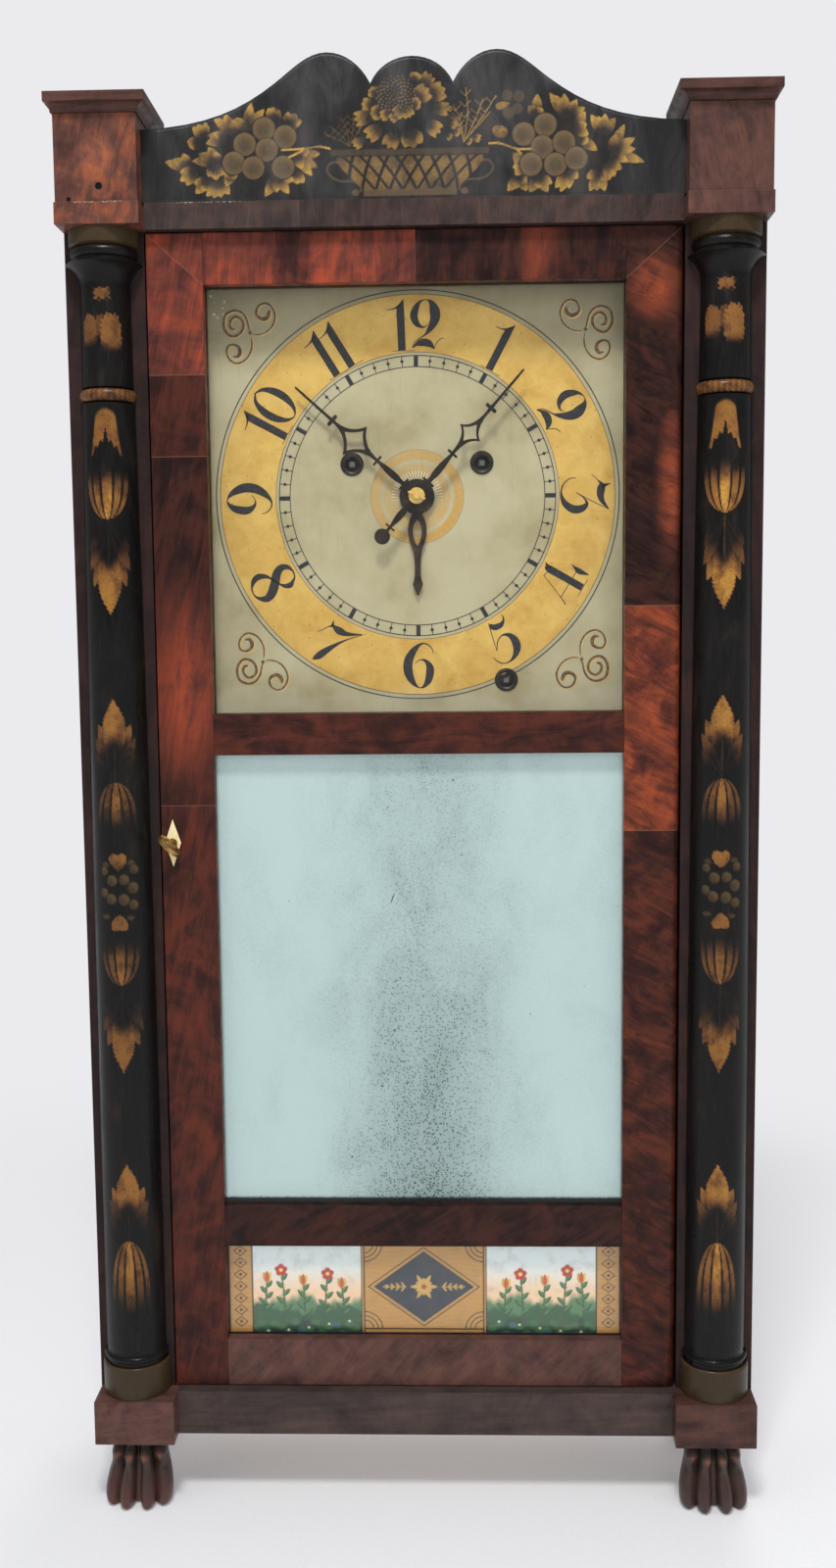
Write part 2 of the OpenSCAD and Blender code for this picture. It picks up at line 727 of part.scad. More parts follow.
// Bell on its post, with the rim towards the backboard
module bell() {
    t = 2.2;
    cup = bell_r * 0.72;
    color("darkgoldenrod") along_y(bell_x, bell_z, bell_rim_y) mirror([0, 0, 1]) rotate_extrude()
        polygon(concat([[bell_r, 0]],
            [for (i = [1:8]) let (a = 90 * i / 8) [(bell_r - 1) * cos(a), cup * sin(a)]],
            [for (i = [8:-1:1]) let (a = 90 * i / 8) [(bell_r - 1 - t) * cos(a), (cup - t) * sin(a)]],
            [[bell_r - t, 0]]));
    color("dimgray") {
        along_y(bell_x, bell_z, bell_rim_y - cup - 6) cylinder(r = 5, h = 5, $fn = 6);
        along_y(bell_x, bell_z, bell_rim_y - cup - 4) cylinder(r = 2.5, h = cup + 4 + back_y - bell_rim_y);
    }
}

module strike_hammer() {
    head_y = bell_rim_y - 6;
    color("dimgray") {
        along_y(hammer_x, hammer_z, plate_y + 1) cylinder(r = staff_r, h = plates_apart + plate_t - 2);
        bar([hammer_x, head_y, hammer_z], [hammer_to[0], head_y, hammer_to[1]], 1.1);
        along_y(hammer_to[0], hammer_to[1], head_y - 4) cylinder(r = hammer_head_r, h = 8);
        along_y(hammer_x, hammer_z, head_y - 3) cylinder(r = 3.5, h = 6);
    }
}

// Hands, drawn pointing up and turned clockwise as seen from the front
module hand_at(angle, y) {
    translate([0, y + hand_t, hands_z]) rotate([0, angle, 0]) rotate([90, 0, 0]) children();
}

// Right side of a diamond with hollow sides, from [x0, inner] out to [half, mid] and back to [x0, outer]
function diamond(x0, inner, outer, half, bow) = let (mid = (inner + outer) / 2)
    concat([[x0, inner]],
        cubic([x0, inner], [x0 + bow, mid - bow * 1.6], [half - bow, mid - bow * 0.6], [half, mid], 5),
        cubic([half, mid], [half - bow, mid + bow * 0.6], [x0 + bow, mid + bow * 1.6], [x0, outer], 5));

// Right side of a crossbar of half length l with a round end, on a stem of half width w
function crossbar(w, z, l = 3.6, r = 0.8) = concat([[w, z - r]], arc([l - r, z], r, -90, 90, 5), [[w, z + r]]);

// Right side of the swelling between the hub and a crossbar just beyond z
function spindle(z) = [[1.5, z * 0.38], [2.1, z * 0.5], [2.3, z * 0.6], [2.1, z * 0.72], [1.5, z * 0.86],
    [1.05, z * 0.94]];

// Right side of the frame round a diamond, flaring from the stem on both sides
function diamond_frame(inner, outer, half) = let (mid = (inner + outer) / 2, run_in = 8)
    concat([[1.05, inner - run_in]],
        cubic([1.05, inner - run_in], [1.6, inner], [half * 0.42, mid - half * 0.3], [half, mid], 6),
        cubic([half, mid], [half * 0.42, mid + half * 0.3], [1.6, outer], [0.95, outer + run_in], 6));

// Right side of a hand: a bar, a swelling, a bar, the diamond from inner to outer, a knobbed bar and the tip
function hand_side(inner, outer, half) = concat([[1.9, 0]], crossbar(1.7, 11.4, 4.6, 0.75), spindle(inner - 10.5),
    crossbar(1.05, inner - 10.8, 3.9, 0.75), diamond_frame(inner, outer, half),
    crossbar(1.1, hand_l * 0.695, 4.3, 1.15), [[0.95, hand_l * 0.73], [0.7, hand_l - 1], [0.3, hand_l]]);

module diamond_hand(inner, outer, half, tail, hole_r) {
    side = hand_side(inner, outer, half);
    pierced = diamond(0.15, inner, outer, half * 0.7, half * 0.22);
    tail_side = concat([[1.4, 0]], spindle(tail - 8), crossbar(0.95, tail - 7.8, 3.8, 0.6), [[1, tail]]);
    linear_extrude(hand_t) difference() {
        union() {
            polygon(concat(side, mirrored(side)));
            circle(r = 6);
            if (tail > 0) {
                rotate(180) polygon(concat(tail_side, mirrored(tail_side)));
                translate([0, -tail]) circle(r = 5.1);
            }
        }
        if (hole_r > 0) circle(r = hole_r);
        polygon(concat(pierced, mirrored(pierced)));
    }
}

minute_angle = 41.3;
hour_angle = -48;

module minute_hand() {
    color([0.12, 0.10, 0.09]) hand_at(minute_angle, minute_y)
        diamond_hand(46, 59, 8.5, 34.3, arbor_r + 0.02);
}

module hour_hand() {
    color([0.12, 0.10, 0.09]) difference() {
        union() {
            hand_at(hour_angle, hour_y) diamond_hand(45, 62, 11.9, 0, 0);
            along_y(0, hands_z, hour_y + hand_t - tiny) cylinder(r = pipe_r, h = plate_y - hour_y - hand_t - 1.2);
            along_y(0, hands_z, plate_y - 4) cylinder(r = 7, h = 2.6);
        }
        along_y(0, hands_z, hour_y - 1) cylinder(r = arbor_r + 0.1, h = 40);
    }
}

module centre_arbor() {
    tip_y = minute_y - 4.6;
    washer = 5.2;
    color("goldenrod") {
        along_y(0, hands_z, tip_y) cylinder(r = arbor_r, h = back_plate_y + plate_t - tip_y);
        along_y(0, hands_z, minute_y - 1.6) cylinder(r = washer, h = 1.5);
        along_y(0, hands_z, minute_y - 2.3) cylinder(r = washer - 2, h = 0.8);
        bar([-5.5, minute_y - 3.1, hands_z + 2.4], [5.5, minute_y - 3.1, hands_z - 2.4], 0.7);
        along_y(0, hands_z, plate_y + plate_t + 0.4) cylinder(r = 6, h = 3);
    }
}

// Right side of the alarm hand's outline and of its eye, in shares of its length
function alarm_side() = [[0.042, 0.1], [0.046, 0.165], [0.072, 0.22], [0.09, 0.28], [0.095, 0.33], [0.09, 0.4],
    [0.073, 0.466], [0.053, 0.515], [0.04, 0.568], [0.031, 0.635], [0.028, 0.71], [0.031, 0.785], [0.039, 0.842],
    [0.052, 0.882], [0.033, 0.935], [0.003, 1]] * alarm_l;
function alarm_eye() = [[0.002, 0.232], [0.024, 0.258], [0.04, 0.3], [0.045, 0.348], [0.038, 0.406], [0.022, 0.46],
    [0.002, 0.492]] * alarm_l;

module alarm_hand() {
    color([0.10, 0.09, 0.09]) hand_at(180, alarm_hand_y) linear_extrude(hand_t) difference() {
        union() {
            circle(r = alarm_disc_r);
            polygon(concat(alarm_side(), mirrored(alarm_side())));
        }
        circle(r = pipe_r + 0.1);
        polygon(concat(alarm_eye(), mirrored(alarm_eye())));
    }
}

// A wheel with teeth of straight flanks
module toothed_wheel(teeth, r, depth, t) {
    step = 360 / teeth;
    linear_extrude(t) polygon([for (i = [0:teeth - 1], p = [[-0.30, 0], [-0.14, 1], [0.14, 1], [0.30, 0]])
        let (a = (i + p[0]) * step, q = r - depth * (1 - p[1])) [q * cos(a), q * sin(a)]]);
}

module winding_drum(s) {
    arbor_front = dial_y + 1.5;
    square_l = plate_y - 2 - arbor_front;
    color("tan") {
        along_y(s * wind_x, winding_z, arbor_front)
            translate([-1.75, -1.75, 0]) cube([3.5, 3.5, square_l + tiny]);
        along_y(s * wind_x, winding_z, arbor_front + square_l)
            cylinder(r = wind_arbor_r, h = back_plate_y + plate_t - arbor_front - square_l);
        along_y(s * wind_x, winding_z, drum_y) cylinder(r = drum_r, h = drum_l);
        for (y = [drum_y - flange_t, drum_y + drum_l])
            along_y(s * wind_x, winding_z, y) cylinder(r = flange_r, h = flange_t + tiny);
        along_y(s * wind_x, winding_z, drum_y + drum_l + flange_t)
            toothed_wheel(great_teeth, great_r, 2.4, great_t);
    }
}

// Escapement and pendulum
module escape_wheel() {
    wheel_y = plate_y + plate_t + 5;
    step = 360 / escape_teeth;
    spokes = 4;
    color("goldenrod") {
        along_y(-pendulum_x, pivot_z - verge_drop, wheel_y) linear_extrude(1.6) {
            difference() {
                polygon([for (i = [0:escape_teeth - 1], p = [[0, 0], [0.18, 1], [0.34, 1], [0.62, 0]])
                    let (a = (i + p[0]) * step, q = escape_r - 2.4 * (1 - p[1])) [q * cos(a), q * sin(a)]]);
                circle(r = escape_r - 4.6);
            }
            for (i = [0:spokes - 1]) rotate([0, 0, i * 360 / spokes])
                translate([0, -0.9]) square([escape_r - 4, 1.8]);
            circle(r = 3.4);
        }
        along_y(-pendulum_x, pivot_z - verge_drop, plate_y + 0.5)
            cylinder(r = staff_r, h = back_plate_y + plate_t - plate_y - 1);
    }
}

module verge() {
    wheel_y = plate_y + plate_t + 5;
    reach = 14.5;
    drop = verge_drop - sqrt(escape_r * escape_r - reach * reach) - 2.4;
    fork_z = pivot_z - crutch_l;
    strip_w = 3;
    color("gray") {
        along_y(-pendulum_x, pivot_z, plate_y - 1.3) cylinder(r = staff_r, h = back_plate_y + plate_t - plate_y + 1);
        along_y(-pendulum_x, pivot_z, wheel_y - 0.6) cylinder(r = 3, h = 3);
        for (s = [left, right])
            translate([-pendulum_x, wheel_y + 2.4, pivot_z]) rotate([90, 0, 0]) linear_extrude(2.8)
                polygon([[0, 2], [s * (reach + 1.2), -drop + 4.6], [s * (reach + 1.4), -drop],
                    [s * reach, -drop], [s * (reach - 1), -drop + 3.4], [0, -2]]);
        box([-pendulum_x - strip_w / 2, plate_y - 1.3, fork_z], [-pendulum_x + strip_w / 2, plate_y - 0.3, pivot_z]);
        translate([-pendulum_x, rod_y, fork_z]) difference() {
            union() {
                cylinder(r = 2.6, h = 1.6);
                translate([-strip_w / 2, 0, 0]) cube([strip_w, plate_y - 0.3 - rod_y, 1.6]);
            }
            translate([0, 0, -1]) cylinder(r = rod_r + 0.4, h = 4);
        }
    }
}

bob_z = pivot_z - pendulum_l;

module pendulum_rod() {
    strip_top = pivot_z + 9;
    color("lightgray") {
        box([-pendulum_x - 0.2, rod_y - 1.5, pivot_z - 24], [-pendulum_x + 0.2, rod_y + 1.3, strip_top]);
        translate([-pendulum_x, rod_y, bob_z - bob_r - 14]) cylinder(r = rod_r, h = pivot_z - 20 - bob_z + bob_r + 14);
        translate([-pendulum_x - 4, rod_y - 0.1, strip_top + 0.3]) rotate([0, 90, 0]) cylinder(r = 0.9, h = 8);
    }
}

module pendulum_bob() {
    half_t = 6;
    bulge = (bob_r * bob_r + half_t * half_t) / (2 * half_t);
    nut_h = 4;
    color("goldenrod") difference() {
        union() {
            along_y(-pendulum_x, bob_z, rod_y) rotate_extrude()
                polygon(concat([for (i = [0:10]) let (x = bob_r * i / 10)
                        [x, sqrt(bulge * bulge - x * x) - bulge + half_t + 0.4]],
                    [for (i = [10:-1:0]) let (x = bob_r * i / 10)
                        [x, -(sqrt(bulge * bulge - x * x) - bulge + half_t + 0.4)]]));
            translate([-pendulum_x, rod_y, bob_z - bob_r - nut_h]) cylinder(r = 3.6, h = nut_h + 1);
        }
        translate([-pendulum_x, rod_y, bob_z - bob_r - nut_h - 1])
            cylinder(r = rod_r + 0.06, h = 2 * bob_r + nut_h + 4);
    }
}

// Weights, cords and pulleys
module pulley(s) {
    color("tan") {
        along_y(s * pulley_x, pulley_z, mid_y - pulley_t / 2) rotate_extrude()
            polygon(concat([[0, 0], [pulley_rim_r, 0], [pulley_rim_r, 0.8]],
                [for (i = [1:7]) let (a = 180 * i / 8)
                    [pulley_rim_r - (pulley_rim_r - pulley_groove_r) * sin(a), 0.8 + (pulley_t - 1.6) * i / 8]],
                [[pulley_rim_r, pulley_t - 0.8], [pulley_rim_r, pulley_t], [0, pulley_t]]));
        along_y(s * pulley_x, pulley_z, mid_y - pulley_t / 2 - lug_gap - lug_t + 0.3)
            cylinder(r = staff_r + 0.5, h = pulley_t + 2 * (lug_gap + lug_t) - 0.6);
    }
}

module weight(s) {
    edge = 4;
    color([0.22, 0.21, 0.21]) {
        translate([s * cord_x, mid_y, weight_top - weight_h]) linear_extrude(weight_h)
            union() {
                square([weight_w - 2 * edge, weight_d], center = true);
                square([weight_w, weight_d - 2 * edge], center = true);
                for (x = [-1, 1], y = [-1, 1])
                    translate([x * (weight_w / 2 - edge), y * (weight_d / 2 - edge)]) circle(r = edge);
            }
        along_y(s * cord_x, weight_top + eye_r, mid_y) rotate_extrude()
            translate([eye_r, 0]) circle(r = eye_wire, $fn = 24);
    }
}

module weight_cord(s) {
    low = weight_top + 2 * eye_r + eye_wire + 0.1;
    color("wheat") translate([s * cord_x, mid_y, low]) cylinder(r = cord_r, h = pulley_z - low, $fn = 24);
}

// Cords from the drums up to the pulleys and round them
module drum_cords() {
    a = [wind_x, winding_z];
    b = [pulley_x, pulley_z];
    ra = drum_r + cord_r + 0.1;
    rb = cord_x - pulley_x;
    d = b - a;
    turn = atan2(d[1], d[0]) + acos((ra - rb) / norm(d));
    n = [cos(turn), sin(turn)];
    color("wheat") for (s = [0, 1]) mirror([s, 0, 0]) {
        from = a + ra * n;
        to = b + rb * n;
        bar([from[0], mid_y, from[1]], [to[0], mid_y, to[1]], cord_r);
        translate([pulley_x, mid_y, pulley_z]) rotate([90, 0, 0])
            rotate_extrude(angle = turn) translate([rb, 0]) circle(r = cord_r, $fn = 24);
    }
}

module alarm_drum() {
    drum_front = mid_y - 10;
    color("tan") {
        along_y(alarm_x, alarm_z, dial_y + 1.5)
            translate([-1.75, -1.75, 0]) cube([3.5, 3.5, plate_y - dial_y - 3]);
        along_y(alarm_x, alarm_z, plate_y - 2) cylinder(r = wind_arbor_r, h = mid_y + 24 - plate_y);
        along_y(alarm_x, alarm_z, drum_front) cylinder(r = 9, h = 16);
        along_y(alarm_x, alarm_z, drum_front - 2) toothed_wheel(24, 14, 3, 2.01);
        along_y(alarm_x, alarm_z, drum_front + 16 - tiny) cylinder(r = 13, h = 2);
    }
}

backboard();
case_side(left);  // case_side_left
case_side(right);  // case_side_right
case_top_board();
case_bottom_board();
front_stile(left);  // front_stile_left
front_stile(right);  // front_stile_right
column(left);  // column_left
column(right);  // column_right
base_block(left);  // base_block_left
base_block(right);  // base_block_right
base_rail();
top_block(left);  // top_block_left
top_block(right);  // top_block_right
cap(left);  // cap_left
cap(right);  // cap_right
crest_splat();
top_rail();
paw_foot(left);  // paw_foot_left
paw_foot(right);  // paw_foot_right
rear_feet();
dial_board();
dial_rails();
front_plate();
back_plate();
bell();
door_stile_left();
door_stile_right();
door_rail(dial_pane_z + dial_pane_h, door_z + door_h - dial_pane_z - dial_pane_h);  // door_rail_top
door_rail(dial_pane_z - middle_rail_h, middle_rail_h);  // door_rail_middle
door_rail(mirror_z - lower_rail_h, lower_rail_h);  // door_rail_lower
door_rail(door_z, bottom_rail_h);  // door_rail_bottom
dial_glass();
mirror_glass();
tablet_glass();
glazing_beads();
hinge_pins();
lock_case();
escutcheon();
key();
lock_bolt();
minute_hand();
centre_arbor();
hour_hand();
alarm_hand();
winding_drum(left);  // winding_drum_left
winding_drum(right);  // winding_drum_right
pulley(left);  // pulley_left
pulley(right);  // pulley_right
weight(left);  // weight_left
weight(right);  // weight_right
weight_cord(left);  // weight_cord_left
weight_cord(right);  // weight_cord_right
drum_cords();
pendulum_rod();
pendulum_bob();
verge();
escape_wheel();
strike_hammer();
alarm_drum();
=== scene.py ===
"""Shelf clock with half columns, stencilled splat, painted dial, mirror door and carved paw feet."""
import bmesh
import bpy
import math
import numpy as np
from mathutils import Matrix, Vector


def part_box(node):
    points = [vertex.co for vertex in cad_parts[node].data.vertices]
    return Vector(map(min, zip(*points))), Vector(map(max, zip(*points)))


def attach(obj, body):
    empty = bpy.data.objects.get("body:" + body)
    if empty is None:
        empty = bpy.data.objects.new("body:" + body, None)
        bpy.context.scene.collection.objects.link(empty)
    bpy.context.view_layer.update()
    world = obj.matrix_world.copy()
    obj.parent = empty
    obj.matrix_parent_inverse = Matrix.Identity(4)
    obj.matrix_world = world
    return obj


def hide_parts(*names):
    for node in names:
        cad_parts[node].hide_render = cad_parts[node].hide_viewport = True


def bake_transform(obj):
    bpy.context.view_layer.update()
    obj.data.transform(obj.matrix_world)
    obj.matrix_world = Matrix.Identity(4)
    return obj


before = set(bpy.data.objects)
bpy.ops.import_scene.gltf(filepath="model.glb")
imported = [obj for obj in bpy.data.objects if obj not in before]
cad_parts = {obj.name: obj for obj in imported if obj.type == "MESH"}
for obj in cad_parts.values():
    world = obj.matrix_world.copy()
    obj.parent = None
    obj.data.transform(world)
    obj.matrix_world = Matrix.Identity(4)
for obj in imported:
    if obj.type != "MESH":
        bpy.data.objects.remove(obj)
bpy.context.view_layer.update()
MM = 0.001
CIRCLE = 2.0 * math.pi
SIDES = (("left", -1.0), ("right", 1.0))

# Places on the clock, in millimetres

# Height of the hands' arbor, depth of the dial's face, and the depth at which paint on it starts.
DIAL_Z = 668.0
FACE = -9.0
UNDER_PAINT = FACE + 0.02
# The winding arbors in x and z, two for the train's drums and one for the alarm's, and their radius.
ARBORS = {"left": (-42.2, 689.4), "right": (42.2, 689.4), "alarm": (57.6, 548.7)}
ARBOR_R = 5.5
# Where the door's stiles and top rail meet in a mitre, and where the capping veneer of the top blocks starts.
MITRE_X, MITRE_Z, MITRE_RISE = 132.0, 798.0, 0.887
CAPPING = 843.5
# Depth of the middle of the mirror, and height of the front feet.
MIRROR_MIDDLE = -29.5
PAW_TOP = 46.0

# Camera and light

EYE = (28.82 * MM, -1017.94 * MM, 586.86 * MM)
YAW, PITCH, ROLL = -0.0298264, -0.105515, -0.00968863
SENSOR, LENS = 36.0, 35.075
LAMP_AIM = (0.0, 0.0, 0.5)
# Name, place and size in metres, watts, and whether gloss shows the lamp.
LAMPS = (("lamp_over", (-0.08, -1.1, 2.3), 0.36, 30.0, True),
         ("lamp_front", (0.5, -2.6, 1.15), 1.5, 14.0, False),
         ("lamp_left", (-1.9, -1.3, 0.9), 1.2, 6.0, False),
         ("lamp_right", (1.9, -1.3, 1.2), 1.2, 6.0, False),
         ("lamp_behind", (0.8, 2.2, 2.0), 1.4, 22.0, False))


def aim(thing, place, side, up, ahead):
    """Puts a camera or a lamp at a place in metres, with side as its X, up as its Y, looking along ahead."""
    bpy.context.scene.collection.objects.link(thing)
    rows = [[side[i], up[i], -ahead[i], place[i]] for i in range(3)]
    thing.matrix_world = Matrix(rows + [[0.0, 0.0, 0.0, 1.0]])


def add_camera():
    """A camera turned by yaw, then pitch, then roll, from looking along +Y."""
    ahead = np.array([math.sin(YAW) * math.cos(PITCH), math.cos(YAW) * math.cos(PITCH), math.sin(PITCH)])
    side = np.array([math.cos(YAW), -math.sin(YAW), 0.0])
    up = np.cross(side, ahead)
    rolled_side = side * math.cos(ROLL) + up * math.sin(ROLL)
    rolled_up = up * math.cos(ROLL) - side * math.sin(ROLL)
    data = bpy.data.cameras.new("camera")
    data.sensor_width = SENSOR
    data.lens = LENS
    data.clip_start = 0.01
    data.clip_end = 50.0
    camera = bpy.data.objects.new("camera", data)
    aim(camera, EYE, rolled_side, rolled_up, ahead)
    bpy.context.scene.camera = camera


def add_lamp(name, place, size, watts, mirrored):
    """A square soft lamp at a place, turned to the middle of the clock."""
    data = bpy.data.lights.new(name, "AREA")
    data.shape = "SQUARE"
    data.size = size
    data.energy = watts
    lamp = bpy.data.objects.new(name, data)
    lamp.visible_glossy = mirrored
    ahead = np.array(LAMP_AIM) - np.array(place)
    ahead /= np.linalg.norm(ahead)
    side = np.cross(ahead, (0.0, 0.0, 1.0))
    side /= np.linalg.norm(side)
    aim(lamp, place, side, np.cross(side, ahead), ahead)


add_camera()
for lamp_terms in LAMPS:
    add_lamp(*lamp_terms)

# Shading helpers


def linear(r, g, b):
    """An 8-bit screen colour as linear light."""
    c = np.array([r, g, b]) / 255.0
    c = np.where(c <= 0.04045, c / 12.92, ((c + 0.055) / 1.055) ** 2.4)
    return (float(c[0]), float(c[1]), float(c[2]), 1.0)


class Finish:
    """One material under construction. Each method adds a node and gives what comes out of it. A constant
    colour is three screen values, or four as linear light. colour is what the surface shows so far."""

    def __init__(self, name):
        self.material = bpy.data.materials.new(name)
        self.material.use_nodes = True
        self.tree = self.material.node_tree
        self.tree.nodes.clear()
        self.here = self.node("TexCoord").outputs["Object"]
        self.colour = None

    def node(self, kind, **settings):
        made = self.tree.nodes.new("ShaderNode" + kind)
        for key, value in settings.items():
            setattr(made, key, value)
        return made

    def feed(self, socket, value):
        """Links a socket to another one, or sets it to a constant."""
        if isinstance(value, bpy.types.NodeSocket):
            self.tree.links.new(value, socket)
        elif socket.type == "RGBA" and len(value) == 3:
            socket.default_value = linear(*value)
        elif value is not None:
            socket.default_value = value

    def place(self, size=1.0, turn=(0.0, 0.0, 0.0), shift=None):
        """Object coordinates, moved by shift in metres and turned, in lengths of size, which is in
        millimetres."""
        vector = self.here
        if shift is not None:
            moved = self.node("VectorMath", operation="ADD")
            self.feed(moved.inputs[0], vector)
            self.feed(moved.inputs[1], shift)
            vector = moved.outputs[0]
        made = self.node("Mapping", vector_type="TEXTURE")
        self.feed(made.inputs["Vector"], vector)
        made.inputs["Scale"].default_value = np.full(3, size) * MM
        made.inputs["Rotation"].default_value = turn
        return made.outputs["Vector"]

    def axes(self):
        """X, Y and Z of the surface point in millimetres."""
        made = self.node("SeparateXYZ")
        self.feed(made.inputs[0], self.place())
        return made.outputs["X"], made.outputs["Y"], made.outputs["Z"]

    def join(self, x, y, z):
        made = self.node("CombineXYZ")
        for socket, value in zip(made.inputs, (x, y, z)):
            self.feed(socket, value)
        return made.outputs[0]

    def noise(self, size, detail=4.0, rough=0.55, bend=0.0, turn=(0.0, 0.0, 0.0), shift=None):
        """Clouds about size across, in millimetres, one number or one for each axis."""
        made = self.node("TexNoise")
        self.feed(made.inputs["Vector"], self.place(size, turn, shift))
        made.inputs["Scale"].default_value = 1.0
        made.inputs["Detail"].default_value = detail
        made.inputs["Roughness"].default_value = rough
        made.inputs["Distortion"].default_value = bend
        return made.outputs["Fac"]

    def cells(self, size, turn=(0.0, 0.0, 0.0)):
        """Distance to the nearest of many scattered points, which lie about size apart."""
        made = self.node("TexVoronoi")
        self.feed(made.inputs["Vector"], self.place(size, turn))
        made.inputs["Scale"].default_value = 1.0
        return made.outputs["Distance"]

    def attribute(self, name):
        return self.node("Attribute", attribute_name=name, attribute_type="GEOMETRY").outputs["Fac"]

    def sum(self, kind, a, b=None, c=None, clamp=False):
        made = self.node("Math", operation=kind, use_clamp=clamp)
        for socket, value in zip(made.inputs, (a, b, c)):
            if value is not None:
                self.feed(socket, value)
        return made.outputs[0]

    def times(self, a, b, more=None):
        """a times b, plus more where it is given."""
        return self.sum("MULTIPLY" if more is None else "MULTIPLY_ADD", a, b, more)

    def plus(self, a, b):
        return self.sum("ADD", a, b)

    def less(self, a, b):
        return self.sum("SUBTRACT", a, b)

    def most(self, a, b):
        return self.sum("MAXIMUM", a, b)

    def past(self, a, b):
        """1 where a is greater than b, else 0."""
        return self.sum("GREATER_THAN", a, b)

    def apart(self, a, b):
        """Distance between two numbers."""
        return self.sum("ABSOLUTE", self.less(a, b))

    def far(self, u, v):
        """Distance from the middle: the root of u squared plus v squared."""
        return self.sum("SQRT", self.plus(self.times(u, u), self.times(v, v)))

    def span(self, value, low, high, to_low=0.0, to_high=1.0):
        """value between low and high, brought smoothly to between to_low and to_high and held there."""
        made = self.node("MapRange", interpolation_type="SMOOTHSTEP")
        for socket, given in zip(made.inputs, (value, low, high, to_low, to_high)):
            self.feed(socket, given)
        return made.outputs["Result"]

    def ramp(self, value, *stops):
        """Colours, each at its place between 0 and 1."""
        made = self.node("ValToRGB")
        self.feed(made.inputs["Fac"], value)
        band = made.color_ramp
        while len(band.elements) < len(stops):
            band.elements.new(0.5)
        for element, (where, colour) in zip(band.elements, stops):
            element.position = where
            element.color = linear(*colour)
        return made.outputs["Color"]

    def mix(self, share, a, b):
        made = self.node("Mix", data_type="RGBA", clamp_factor=True)
        self.feed(made.inputs["Factor"], share)
        self.feed(made.inputs[6], a)
        self.feed(made.inputs[7], b)
        return made.outputs[2]

    def coat(self, share, colour):
        """Lays a colour over what the surface shows so far, as strongly as share says."""
        self.colour = self.mix(share, self.colour, colour)

    def bump(self, height, depth):
        """A relief as deep as depth, in millimetres."""
        made = self.node("Bump")
        made.inputs["Strength"].default_value = 1.0
        made.inputs["Distance"].default_value = depth * MM
        self.feed(made.inputs["Height"], height)
        return made.outputs["Normal"]

    def surface(self, rough, metal, relief=None, gloss=0.5, **shine):
        """The finished surface in the colour reached so far."""
        made = self.node("BsdfPrincipled")
        self.feed(made.inputs["Base Color"], self.colour)
        self.feed(made.inputs["Roughness"], rough)
        self.feed(made.inputs["Metallic"], metal)
        if relief is not None:
            self.feed(made.inputs["Normal"], relief)
        made.inputs["Specular IOR Level"].default_value = gloss
        for key, value in shine.items():
            made.inputs[key.replace("_", " ")].default_value = value
        return self.output(made.outputs[0])

    def blended(self, share, first, second):
        """Two shaders, the second one as strong as share says."""
        made = self.node("MixShader")
        for socket, value in zip(made.inputs, (share, first, second)):
            self.feed(socket, value)
        return self.output(made.outputs[0])

    def output(self, shader):
        made = self.node("OutputMaterial")
        self.tree.links.new(shader, made.inputs["Surface"])
        return self.material


# Finishes of wood


